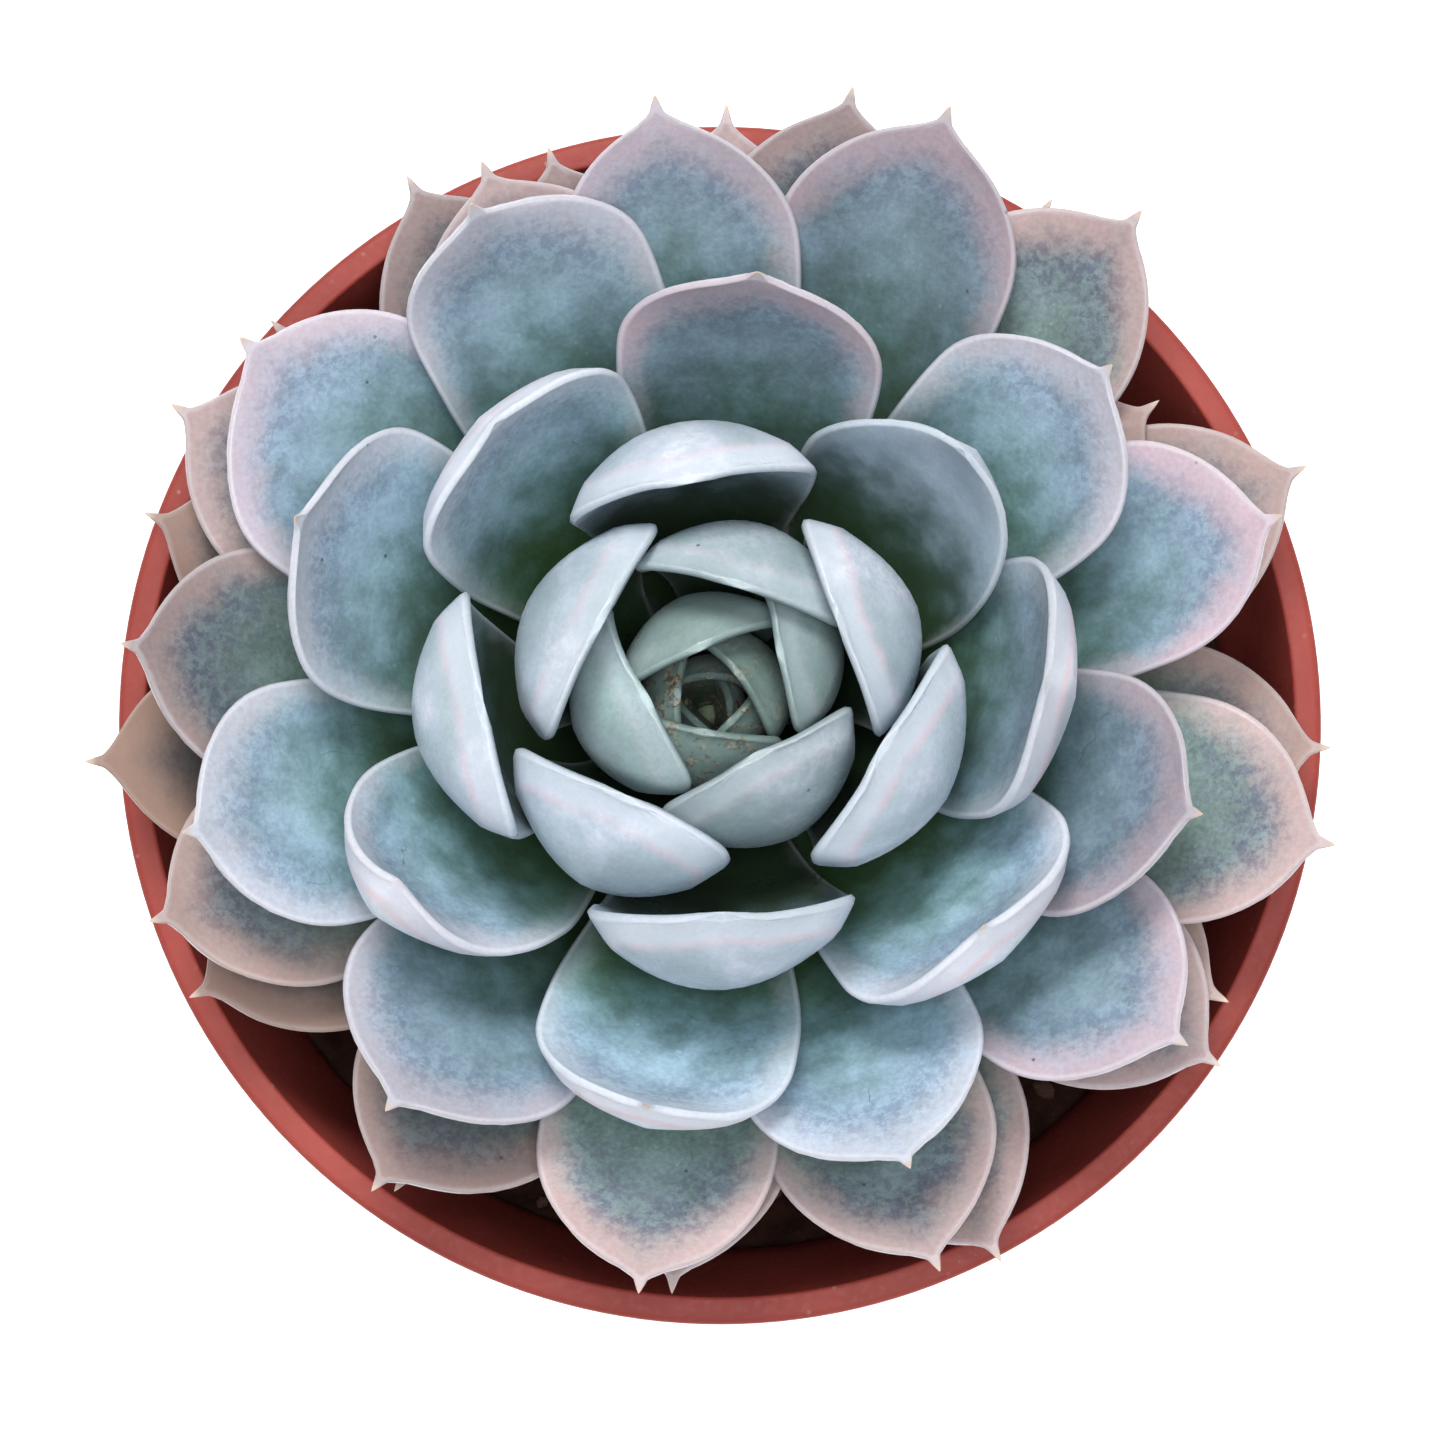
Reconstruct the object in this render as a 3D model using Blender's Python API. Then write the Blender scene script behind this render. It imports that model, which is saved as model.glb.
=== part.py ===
# Potted mexican snowball, a rosette succulent in a small round nursery pot.
#
# The leaves grow one after another around the stem, each turned by the golden angle from
# the one before. A leaf's order counts from the youngest at the heart to the oldest at the
# rim, and growth curves over that order give its length, width, slope and thickness.
#
# Frame: metres, +Z up, the origin on the pot's axis on the plane the pot stands on.

import math

import bmesh
import bpy
import numpy as np
from mathutils import Matrix, Vector
from mathutils.bvhtree import BVHTree

MM = 0.001

# Edges that bend by more degrees than this show as sharp
SHARP_FROM = 40

# Base colour and roughness of each material
LOOKS = {
    "pot": ((0.42, 0.10, 0.08), 0.55),
    "soil": ((0.05, 0.03, 0.02), 0.95),
    "stem": ((0.36, 0.46, 0.40), 0.6),
    "leaf_inner": ((0.50, 0.62, 0.68), 0.5),
    "leaf_middle": ((0.44, 0.58, 0.60), 0.5),
    "leaf_outer": ((0.42, 0.50, 0.47), 0.55),
}

# Pot
POT_HEIGHT = 90 * MM
RIM_RADIUS = 52.5 * MM
RIM_WIDTH = 2.4 * MM
COLLAR_HEIGHT = 13 * MM
COLLAR_TAPER = 0.9 * MM
FOOT_RADIUS = 38.0 * MM
WALL = 1.5 * MM
FLOOR = 4.2 * MM
FOOT_RING_WIDTH = 3.4 * MM
FOOT_DISC_RADIUS = 10.0 * MM
FOOT_RECESS = 2.0 * MM
DRAIN_HOLES = 6
DRAIN_HOLE_RADIUS = 3.0 * MM
DRAIN_CIRCLE = 22.0 * MM
DRAIN_HOLE_SIDES = 12
POT_SIDES = 44
INNER_RIM = RIM_RADIUS - RIM_WIDTH
INNER_FOOT = FOOT_RADIUS - WALL

# Soil
SOIL_DROP = 21 * MM
SOIL_RINGS = 7
SOIL_SIDES = 24
SOIL_WAVE = 0.9 * MM
SOIL_MOUND = 1.6 * MM
SOIL_MOUND_REACH = 20 * MM
SOIL_EDGE_DROP = 1.2 * MM
SOIL_FOOT_INSET = 3 * MM
SOIL_FOOT_CHAMFER = 2 * MM
SOCKET_SIDES = 24

# Fit of the pieces: the gap between neighbours, and how far a sharp corner may move for it
PIECE_GAP = 0.3 * MM
CORNER_LIMIT = 2.5

# Rosette
GOLDEN_ANGLE = 137.5
FIRST_LEAF_TURN = 136.0
CROWN = Vector((-0.8 * MM, -0.5 * MM, POT_HEIGHT - 8.5 * MM))
STEM_GAP = 0.7 * MM
ROOT_RADIUS = 6.0 * MM
ROOT_DEPTH = 30 * MM
ROOT_TAPER = 0.6
ROOT_TOP = 4 * MM
STEM_SIDES = 16
STEM_END_RADIUS = 0.6 * MM
STEM_RING_ORDERS = range(46, -21, -6)
OLDEST_LEAF = 47
HEART_ORDERS = range(-20, -12)
LEAF_ORDERS = list(range(-12, 42)) + [43, 47]

# Leaf blade
EDGE_THICKNESS = 0.6 * MM
LEAF_RINGS = 10
BUD_RINGS = 7
UPPER_STEPS = (-1.0, -0.42, 0.42, 1.0)
LOWER_STEPS = (0.95, 0.42, -0.42, -0.95)
BASE_WIDTH = 0.34
BASE_THICKNESS = 0.42
THICKEST_AT = 0.62
LAST_RING_AT = 0.985
RING_CROWDING = 1.35
MIDLINE_STEPS = 60
CURL_POWER = 1.3
HOOK_FROM = 0.72
WIDENING_POWER = 1.6
NECK_REACH = 0.15
LEAST_HALF_WIDTH = 0.45 * MM
LEAST_DEPTH = 0.75 * MM
KEEL_POWER = 2.2
HOLLOW_AT_BASE = 0.35
HOLLOW_FULL_AT = 0.5
FLATTENED_FROM = 0.6
FLATTENED_OVER = 0.35
LOPSIDED_FULL_AT = 0.4
SPINE_LIFT = 0.2 * MM
BUD_ATTACH_SHARE = 0.4
FIRST_MIDDLE_LEAF = 0
FIRST_OUTER_LEAF = 18

# Growth curves: (order, value) pairs, straight between them
LENGTH_MM = ((-20, 8), (-15, 17), (-10, 25.5), (-5, 32), (0, 37), (4, 40), (8, 44), (12, 46.5),
             (16, 48), (20, 48), (30, 47), (47, 45))
BASE_SLOPE = ((-20, 70), (-12, 50), (-9, 44), (-7, 40), (-5, 36), (0, 30), (4, 26), (8, 21), (20, 18),
              (30, 15), (47, 12))
TIP_SLOPE = ((-20, 100), (-12, 130), (-9, 130), (-7, 128), (-5, 124), (-3, 118), (-1, 108), (0, 86),
             (3, 68), (6, 56), (10, 47), (14, 42), (20, 36), (30, 28), (47, 21))
HEIGHT_ON_STEM_MM = ((-20, 19), (-10, 16.5), (10, 9.5), (30, 3.0), (47, 0))
STEM_RADIUS_MM = ((-20, 0.8), (-12, 3.2), (0, 5.0), (20, 7.5), (47, 8.5))
WIDTH_MM = ((-20, 5), (-15, 12), (-12, 15.5), (-10, 18.2), (-8, 20), (-5, 21.5), (0, 22.2), (4, 22.2),
            (8, 21.5), (14, 20.5), (20, 20), (30, 18.5), (47, 17))
THICKNESS_MM = ((-20, 1.6), (-12, 3.4), (-5, 4.8), (5, 5.2), (20, 4.4), (47, 3.4))
CUP = ((-20, 45), (-12, 36), (-5, 32), (0, 28), (10, 20), (20, 14), (47, 10))
WIDEST_AT = ((-20, 0.7), (-12, 0.8), (-1, 0.79), (0, 0.74), (12, 0.72), (20, 0.71), (47, 0.68))
BLUNTNESS = ((-12, 3.2), (-1, 3.0), (0, 2.4), (12, 2.3), (20, 2.3), (47, 2.0))
NECK = ((-3, 0.1), (6, 0.6))
SPINE_MM = ((-20, 0.3), (-3, 0.4), (2, 1.0), (8, 1.8))
TIP_FLATTENING = ((-12, 0.2), (-2, 0.3), (8, 0.65))
LEAN = ((-20, 0.0), (-12, 0.5), (-8, 1.5), (-4, 3.5), (0, 4.5), (47, 4.0))

# Where the leaf tips show from above, read off the photograph with a ruler at the rim's
# scale: millimetres right of the pot's axis and millimetres away from the viewer
TIP_SEEN_MM = {
    -13: (-1.7, 7.8), -12: (4.9, 5.8), -11: (-6.1, 1.9),
    -10: (1.6, 11.4), -9: (3.0, -2.9), -8: (-10.2, 8.2), -7: (10.2, 8.4), -6: (-8.2, -6.6),
    -5: (-2.7, 20.5), -4: (14.0, -2.2), -3: (-20.6, 1.5), -2: (21.2, 23.5), -1: (0.2, -16.8),
    0: (-19.6, 25.8), 1: (28.2, 3.4), 2: (-27.9, -14.0), 3: (3.3, 39.0), 4: (22.9, -18.0),
    5: (-37.1, 17.6), 6: (34.2, 30.9), 7: (-6.5, -33.8), 8: (-21.7, 45.0), 9: (42.1, -8.3),
    10: (-46.9, -9.9), 11: (20.1, 53.5), 12: (16.6, -39.2), 13: (-41.9, 33.3), 14: (49.1, 17.8),
    15: (-29.2, -34.2), 16: (-5.7, 54.5), 17: (40.8, -28.5), 18: (-52.3, 6.6), 19: (36.8, 44.4),
    20: (-7.1, -50.1), 21: (-20.8, 48.7), 22: (53.7, -11.0), 23: (-49.8, -17.7), 24: (11.6, 55.2),
    25: (19.2, -48.2), 26: (-47.9, 27.5), 27: (51.2, 22.1), 28: (-30.4, -41.2), 29: (-15.0, 49.9),
    30: (43.7, -30.3), 31: (-55.4, -3.7), 33: (-4.2, -50.1), 34: (-27.3, 47.4), 35: (53.3, -2.5),
    36: (-46.3, -24.3), 38: (24.5, -47.3), 39: (-50.2, 18.0), 40: (38.3, 27.8), 41: (-28.4, -41.2),
    43: (44.4, -24.7), 47: (-39.2, 34.8),
}

# The compass heading of the blades that turn sideways on their way to the tip
TIP_HEADING = {
    -13: 138, -12: 7, -11: 208,
    -10: 75, -9: 298, -8: 153, -7: 19, -6: 246, -5: 102, -4: 327, -3: 192, -2: 48, -1: 272,
    0: 136, 1: 347, 2: 228, 4: 306, 7: 256,
}
MOST_SWEEP = 22.0

# How single leaves differ: the share of the usual width, how much broader the left side is
# than the right as seen from the stem, the degrees by which the whole blade and its last part
# curl in, and how much blunter the tip and how much higher the widest place is
USUAL_LEAF = {"width": 1.0, "lopsided": 0.0, "curl": 0, "hook": 0, "blunt": 0.0, "widest": 0.0}
OWN_SHAPE = {
    -12: {"width": 0.92},
    -9: {"width": 0.95},
    -7: {"width": 0.92},
    -6: {"width": 0.94},
    -5: {"width": 0.97},
    -4: {"width": 0.97},
    -3: {"width": 0.95},
    -2: {"width": 0.94, "curl": -28, "blunt": -1.1, "widest": -0.14, "lopsided": 0.14},
    0: {"hook": 8},
    1: {"hook": 22},
    2: {"width": 0.96, "hook": 30, "blunt": -0.5, "widest": -0.08, "lopsided": 0.12},
    3: {"hook": 10, "blunt": 0.15},
    4: {"hook": 36, "width": 1.04, "blunt": -0.3},
    5: {"hook": 12, "width": 1.05, "blunt": 0.1},
    6: {"width": 0.96, "blunt": -0.2},
    7: {"hook": 28},
    8: {"hook": 12, "blunt": 0.4, "widest": 0.03, "lopsided": -0.16},
    10: {"lopsided": -0.04},
    13: {"width": 1.16, "lopsided": 0.10},
    14: {"width": 0.94, "lopsided": 0.14},
    15: {"width": 1.08},
    16: {"lopsided": -0.10},
    19: {"lopsided": 0.14},
    22: {"lopsided": 0.08},
    28: {"width": 1.08, "lopsided": 0.15},
}
# The photograph's viewing tilt in degrees off straight down, and its distance from the rim
VIEW_TILT = 5.0
VIEW_DISTANCE = 450 * MM

# A leaf that reaches farther out than usual is longer and lies flatter: what one unit of
# stretch adds to its length, and takes off its slope in degrees at the base and the tip
STRETCH_LENGTH = 0.5
STRETCH_BASE = 45
STRETCH_TIP = 12
FIT_ROUNDS = 40
TURN_CORRECTION = 0.7
STRETCH_CORRECTION = 0.6


def clear_scene():
    for obj in list(bpy.data.objects):
        bpy.data.objects.remove(obj, do_unlink=True)


def make_material(name, colour, roughness):
    material = bpy.data.materials.new(name)
    material.use_nodes = True
    shader = material.node_tree.nodes["Principled BSDF"]
    shader.inputs["Base Color"].default_value = (*colour, 1.0)
    shader.inputs["Roughness"].default_value = roughness
    shader.inputs["Metallic"].default_value = 0.0
    return material


def add_object(name, verts, faces, material):
    mesh = bpy.data.meshes.new(name)
    mesh.from_pydata([tuple(v) for v in verts], [], faces)
    mesh.materials.append(material)
    mesh.shade_smooth()
    mesh.set_sharp_from_angle(angle=math.radians(SHARP_FROM))
    obj = bpy.data.objects.new(name, mesh)
    bpy.context.scene.collection.objects.link(obj)
    return obj


def turned(name, profile, sides, material):
    """A solid turned about Z: the profile is a closed loop of (radius, height), axis points allowed."""
    verts = []
    rows = []
    for radius, height in profile:
        if radius == 0:
            rows.append([len(verts)] * sides)
            verts.append((0.0, 0.0, height))
            continue
        rows.append(list(range(len(verts), len(verts) + sides)))
        for i in range(sides):
            angle = math.tau * i / sides
            verts.append((radius * math.cos(angle), radius * math.sin(angle), height))
    faces = []
    for low, high in zip(rows, rows[1:] + rows[:1]):
        if low[0] == low[-1] and high[0] == high[-1]:
            continue
        for i in range(sides):
            j = (i + 1) % sides
            corners = [low[i], low[j], high[j], high[i]]
            faces.append(list(dict.fromkeys(corners)))
    return add_object(name, verts, faces, material)


def smooth_step(x):
    x = np.clip(x, 0.0, 1.0)
    return x * x * (3 - 2 * x)


def grown(curve, order):
    orders, values = zip(*curve)
    return float(np.interp(order, orders, values))


class Leaf:
    """One leaf of the rosette, in the stem's own frame until place() puts it in the pot's."""

    def __init__(self, order):
        self.order = order
        self.turn = FIRST_LEAF_TURN - GOLDEN_ANGLE * order
        self.stretch = 0.0
        self.attach_radius = grown(STEM_RADIUS_MM, order) * MM
        self.attach_height = grown(HEIGHT_ON_STEM_MM, order) * MM
        self.own = {**USUAL_LEAF, **OWN_SHAPE.get(order, {})}
        self.width = grown(WIDTH_MM, order) * self.own["width"] * MM
        self.thickness = grown(THICKNESS_MM, order) * MM
        self.cup = math.radians(grown(CUP, order))
        self.widest_at = grown(WIDEST_AT, order) + self.own["widest"]
        self.bluntness = grown(BLUNTNESS, order) + self.own["blunt"]
        if order in TIP_SEEN_MM:
            self.reach_for_seen_tip()

    def length(self):
        return grown(LENGTH_MM, self.order) * MM * (1 + STRETCH_LENGTH * self.stretch)

    def base_slope(self):
        return math.radians(grown(BASE_SLOPE, self.order) - STRETCH_BASE * self.stretch)

    def tip_slope(self):
        slope = grown(TIP_SLOPE, self.order) + self.own["curl"]
        return math.radians(slope - STRETCH_TIP * self.stretch)

    def slope(self, along):
        hook = math.radians(self.own["hook"]) * smooth_step((along - HOOK_FROM) / (1 - HOOK_FROM))
        curl = (self.tip_slope() - self.base_slope()) * along ** CURL_POWER
        return self.base_slope() + curl + hook

    def sweep(self):
        if self.order not in TIP_HEADING:
            return 0.0
        off = (TIP_HEADING[self.order] - self.turn + 180) % 360 - 180
        return math.radians(min(max(off, -MOST_SWEEP), MOST_SWEEP))

    def midline(self):
        """Distances out and up of points along the midrib from the stem to the tip."""
        along = np.linspace(0, 1, MIDLINE_STEPS + 1)
        slopes = self.slope(along)
        step = self.length() / MIDLINE_STEPS
        out = np.cos(slopes) * step
        up = np.sin(slopes) * step
        out = np.concatenate([[0], np.cumsum((out[1:] + out[:-1]) / 2)])
        up = np.concatenate([[0], np.cumsum((up[1:] + up[:-1]) / 2)])
        return along, self.attach_radius + out, self.attach_height + up

    def frame(self, along):
        """The midrib's point at a share of the length, with its forward, up and side directions."""
        shares, out, up = self.midline()
        x = float(np.interp(along, shares, out))
        z = float(np.interp(along, shares, up))
        slope = self.slope(along)
        heading = self.sweep() * along
        sideways = (x - self.attach_radius) * heading / 2
        turn = Matrix.Rotation(heading, 3, "Z")
        forward = turn @ Vector((math.cos(slope), 0, math.sin(slope)))
        normal = turn @ Vector((-math.sin(slope), 0, math.cos(slope)))
        side = turn @ Vector((0, 1, 0))
        return Vector((x, sideways, z)), forward, normal, side

    def half_width(self, along):
        if along < self.widest_at:
            share = math.sin(along / self.widest_at * math.pi / 2) ** WIDENING_POWER
            return self.width / 2 * (BASE_WIDTH + (1 - BASE_WIDTH) * share)
        left = (1 - along) / (1 - self.widest_at)
        neck = 1 - grown(NECK, self.order) * math.exp(-((left / NECK_REACH) ** 2))
        return max(self.width / 2 * (1 - (1 - left) ** self.bluntness) * neck, LEAST_HALF_WIDTH)

    def broadening(self, along, step):
        share = math.copysign(smooth_step(along / LOPSIDED_FULL_AT), step)
        return 1 + self.own["lopsided"] * share

    def depth(self, along):
        if along < THICKEST_AT:
            share = BASE_THICKNESS + (1 - BASE_THICKNESS) * smooth_step(along / THICKEST_AT)
        else:
            beyond = (along - THICKEST_AT) / (1 - THICKEST_AT)
            share = math.sqrt(max(1 - beyond ** KEEL_POWER, 0))
        return max(self.thickness * share, LEAST_DEPTH)

    def section(self, along):
        """One ring round the blade: across the hollow upper face, then back under the keel."""
        centre, _, normal, side = self.frame(along)
        half = self.half_width(along)
        depth = self.depth(along)
        hollow = HOLLOW_AT_BASE + (1 - HOLLOW_AT_BASE) * smooth_step(along / HOLLOW_FULL_AT)
        flattening = smooth_step((along - FLATTENED_FROM) / FLATTENED_OVER)
        flatter_tip = 1 - grown(TIP_FLATTENING, self.order) * flattening
        bend = self.cup * hollow * flatter_tip
        radius = self.width / 2 / bend
        points = []
        for step in UPPER_STEPS:
            angle = step * half * self.broadening(along, step) / radius
            points.append(centre + side * radius * math.sin(angle) + normal * radius * (1 - math.cos(angle)))
        for step in LOWER_STEPS:
            angle = step * half * self.broadening(along, step) / radius
            surface = centre + side * radius * math.sin(angle) + normal * radius * (1 - math.cos(angle))
            inward = normal * math.cos(angle) - side * math.sin(angle)
            bulge = 1 - (abs(step) / LOWER_STEPS[0]) ** KEEL_POWER
            points.append(surface - inward * (EDGE_THICKNESS + (depth - EDGE_THICKNESS) * bulge))
        return points

    def place(self, point):
        """From the leaf's own frame, growing toward +X, to the pot's frame."""
        lean = Matrix.Rotation(-math.radians(grown(LEAN, self.order)), 3, "X")
        return CROWN + lean @ (Matrix.Rotation(math.radians(self.turn), 3, "Z") @ point)

    def spine_tip(self):
        last = self.section(LAST_RING_AT)
        _, forward, normal, _ = self.frame(1.0)
        middle = sum(last, Vector()) / len(last)
        return middle + forward * grown(SPINE_MM, self.order) * MM + normal * SPINE_LIFT

    def reach_for_seen_tip(self):
        """Turn and stretch the leaf until its tip shows where it was read."""
        wanted = Vector(TIP_SEEN_MM[self.order]) * MM
        axis = seen_from_above(self.place(Vector((0, 0, self.spine_tip().z))))
        for _ in range(FIT_ROUNDS):
            shown = seen_from_above(self.place(self.spine_tip())) - axis
            target = wanted - axis
            off = math.degrees(math.atan2(target.y, target.x) - math.atan2(shown.y, shown.x))
            self.turn += TURN_CORRECTION * ((off + 180) % 360 - 180)
            self.stretch += STRETCH_CORRECTION * (target.length - shown.length) / self.length()


def seen_from_above(point):
    """Where a point shows, at the rim's scale, to a viewer tilted a little off the pot's axis."""
    tilt = math.radians(VIEW_TILT)
    up = point.z - POT_HEIGHT
    nearer = up * math.cos(tilt) - point.y * math.sin(tilt)
    scale = VIEW_DISTANCE / (VIEW_DISTANCE - nearer)
    return Vector((point.x, point.y * math.cos(tilt) + up * math.sin(tilt))) * scale


def leaf_mesh(leaf, ring_count=LEAF_RINGS):
    """Vertices and faces of a closed leaf: rings from the stem to the spine."""
    shares = [1 - (1 - i / ring_count) ** RING_CROWDING for i in range(ring_count)]
    shares = [share / shares[-1] * LAST_RING_AT for share in shares]
    rings = [leaf.section(share) for share in shares]
    count = len(rings[0])
    verts = [point for ring in rings for point in ring]
    faces = []
    for i in range(len(rings) - 1):
        for j in range(count):
            k = (j + 1) % count
            near, far = i * count, (i + 1) * count
            faces.append((near + j, far + j, far + k))
            faces.append((near + j, far + k, near + k))
    base = len(verts)
    verts.append(sum(rings[0], Vector()) / count)
    verts.append(leaf.spine_tip())
    last = (len(rings) - 1) * count
    for j in range(count):
        k = (j + 1) % count
        faces.append((base, j, k))
        faces.append((base + 1, last + k, last + j))
    return [leaf.place(v) for v in verts], faces


def swollen(verts, faces, margin):
    """The same closed shape with its skin moved out by the margin, sharp corners not too far."""
    bm = bmesh.new()
    made = [bm.verts.new(v) for v in verts]
    for face in faces:
        bm.faces.new([made[i] for i in face])
    bm.normal_update()
    moved = [v.co + v.normal * margin * min(v.calc_shell_factor(), CORNER_LIMIT) for v in bm.verts]
    bm.free()
    return moved


def triangles(verts, faces):
    return BVHTree.FromPolygons([tuple(v) for v in verts], faces, epsilon=0.0)


def apply_modifiers(obj):
    graph = bpy.context.evaluated_depsgraph_get()
    mesh = bpy.data.meshes.new_from_object(obj.evaluated_get(graph))
    obj.modifiers.clear()
    obj.data = mesh


def boolean(obj, operation, collection):
    """Cut from an object, or join to it, all the objects of a collection at once."""
    modifier = obj.modifiers.new(operation.lower(), "BOOLEAN")
    modifier.operation = operation
    modifier.solver = "EXACT"
    modifier.operand_type = "COLLECTION"
    modifier.collection = collection
    apply_modifiers(obj)
    for part in list(collection.objects):
        bpy.data.objects.remove(part, do_unlink=True)
    bpy.data.collections.remove(collection)


def new_group(name, objects):
    group = bpy.data.collections.new(name)
    bpy.context.scene.collection.children.link(group)
    for obj in objects:
        bpy.context.scene.collection.objects.unlink(obj)
        group.objects.link(obj)
    return group


def keep_largest_piece(obj):
    bm = bmesh.new()
    bm.from_mesh(obj.data)
    left = set(bm.verts)
    pieces = []
    while left:
        seed = left.pop()
        piece = {seed}
        queue = [seed]
        while queue:
            vert = queue.pop()
            for edge in vert.link_edges:
                other = edge.other_vert(vert)
                if other in left:
                    left.discard(other)
                    piece.add(other)
                    queue.append(other)
        pieces.append(piece)
    pieces.sort(key=len)
    for piece in pieces[:-1]:
        bmesh.ops.delete(bm, geom=list(piece), context="VERTS")
    bm.to_mesh(obj.data)
    bm.free()


def leaf_kind(order):
    if order < FIRST_MIDDLE_LEAF:
        return "inner"
    return "middle" if order < FIRST_OUTER_LEAF else "outer"


def build_leaves(materials):
    """The separate leaves, inner ones first: each is trimmed to clear the ones above it."""
    above = []
    for number, order in enumerate(LEAF_ORDERS, start=1):
        verts, faces = leaf_mesh(Leaf(order))
        tree = triangles(verts, faces)
        material = materials[leaf_kind(order)]
        obj = add_object(f"leaf_{number:02d}", verts, faces, material)
        pressing = [shape for shape in above if shape[2].overlap(tree)]
        if pressing:
            cutters = [add_object("cutter", shape[0], shape[1], material) for shape in pressing]
            boolean(obj, "DIFFERENCE", new_group("cutters", cutters))
            keep_largest_piece(obj)
        fat = swollen(verts, faces, PIECE_GAP)
        above.append((fat, faces, triangles(fat, faces)))


def stem_rings():
    """Centre, lean and radius of the stem, from the root's end up to the growing point."""
    rings = [(-ROOT_DEPTH, OLDEST_LEAF, ROOT_RADIUS * ROOT_TAPER),
             (-ROOT_DEPTH * ROOT_TAPER, OLDEST_LEAF, ROOT_RADIUS),
             (-ROOT_TOP, OLDEST_LEAF, ROOT_RADIUS)]
    for order in STEM_RING_ORDERS:
        radius = grown(STEM_RADIUS_MM, order) * MM - STEM_GAP
        rings.append((grown(HEIGHT_ON_STEM_MM, order) * MM, order, max(radius, STEM_END_RADIUS)))
    return rings


def build_stem(material):
    """Stem, root crown and the bud of small young leaves, grown together in one piece."""
    verts = []
    faces = []
    sides = STEM_SIDES
    rings = stem_rings()
    for height, order, radius in rings:
        lean = Matrix.Rotation(-math.radians(grown(LEAN, order)), 3, "X")
        for i in range(sides):
            angle = math.tau * i / sides
            verts.append(CROWN + lean @ Vector((radius * math.cos(angle), radius * math.sin(angle), height)))
    for row in range(len(rings) - 1):
        for i in range(sides):
            j = (i + 1) % sides
            faces.append((row * sides + i, row * sides + j, (row + 1) * sides + j, (row + 1) * sides + i))
    faces.append(list(range(sides))[::-1])
    faces.append([(len(rings) - 1) * sides + i for i in range(sides)])
    stem = add_object("stem", verts, faces, material)
    buds = []
    for order in HEART_ORDERS:
        leaf = Leaf(order)
        leaf.attach_radius *= BUD_ATTACH_SHARE
        buds.append(add_object("bud", *leaf_mesh(leaf, BUD_RINGS), material))
    boolean(stem, "UNION", new_group("buds", buds))


def inner_pot_radius(height):
    return INNER_FOOT + (INNER_RIM - INNER_FOOT) * (height - FLOOR) / (POT_HEIGHT - FLOOR)


def pot_profile():
    """Half the pot's section: out under the foot, up the outside, over the rim and down inside."""
    collar_z = POT_HEIGHT - COLLAR_HEIGHT
    body_top = inner_pot_radius(collar_z) + WALL
    corner_z = FLOOR + 1.4 * MM
    return [
        (0, 0),
        (FOOT_DISC_RADIUS, 0),
        (FOOT_DISC_RADIUS + 0.8 * MM, FOOT_RECESS),
        (FOOT_RADIUS - FOOT_RING_WIDTH - 1.8 * MM, FOOT_RECESS),
        (FOOT_RADIUS - FOOT_RING_WIDTH - 1.0 * MM, 0),
        (FOOT_RADIUS - 1.0 * MM, 0),
        (FOOT_RADIUS, 1.2 * MM),
        (body_top, collar_z - 0.8 * MM),
        (RIM_RADIUS - COLLAR_TAPER - 0.3 * MM, collar_z),
        (RIM_RADIUS - COLLAR_TAPER, collar_z + 0.5 * MM),
        (RIM_RADIUS, POT_HEIGHT - 1.2 * MM),
        (RIM_RADIUS - 0.25 * MM, POT_HEIGHT - 0.35 * MM),
        (RIM_RADIUS - 0.8 * MM, POT_HEIGHT),
        (INNER_RIM + 0.3 * MM, POT_HEIGHT),
        (INNER_RIM, POT_HEIGHT - 0.3 * MM),
        (inner_pot_radius(corner_z), corner_z),
        (INNER_FOOT - 1.2 * MM, FLOOR),
        (0, FLOOR),
    ]


def build_pot(material):
    pot = turned("pot", pot_profile(), POT_SIDES, material)
    holes = []
    for i in range(DRAIN_HOLES):
        angle = math.tau * i / DRAIN_HOLES
        profile = [(0, -MM), (DRAIN_HOLE_RADIUS, -MM), (DRAIN_HOLE_RADIUS, FLOOR + MM), (0, FLOOR + MM)]
        hole = turned("hole", profile, DRAIN_HOLE_SIDES, material)
        hole.data.transform(Matrix.Translation((DRAIN_CIRCLE * math.cos(angle),
                                                DRAIN_CIRCLE * math.sin(angle), 0)))
        holes.append(hole)
    boolean(pot, "DIFFERENCE", new_group("holes", holes))


def soil_height(x, y):
    """A slightly uneven surface, a little higher round the stem."""
    waves = math.sin(x / (7 * MM) + 0.8) * math.cos(y / (9 * MM) - 0.4)
    mound = SOIL_MOUND * math.exp(-((x * x + y * y) / SOIL_MOUND_REACH ** 2))
    return POT_HEIGHT - SOIL_DROP + SOIL_WAVE * waves + mound


def soil_ring(radius, height=None, drop=0.0):
    """Points round the axis, on the soil's surface unless a height is given."""
    ring = []
    for i in range(SOIL_SIDES):
        angle = math.tau * i / SOIL_SIDES
        x = radius * math.cos(angle)
        y = radius * math.sin(angle)
        ring.append((x, y, soil_height(x, y) - drop if height is None else height))
    return ring


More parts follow.
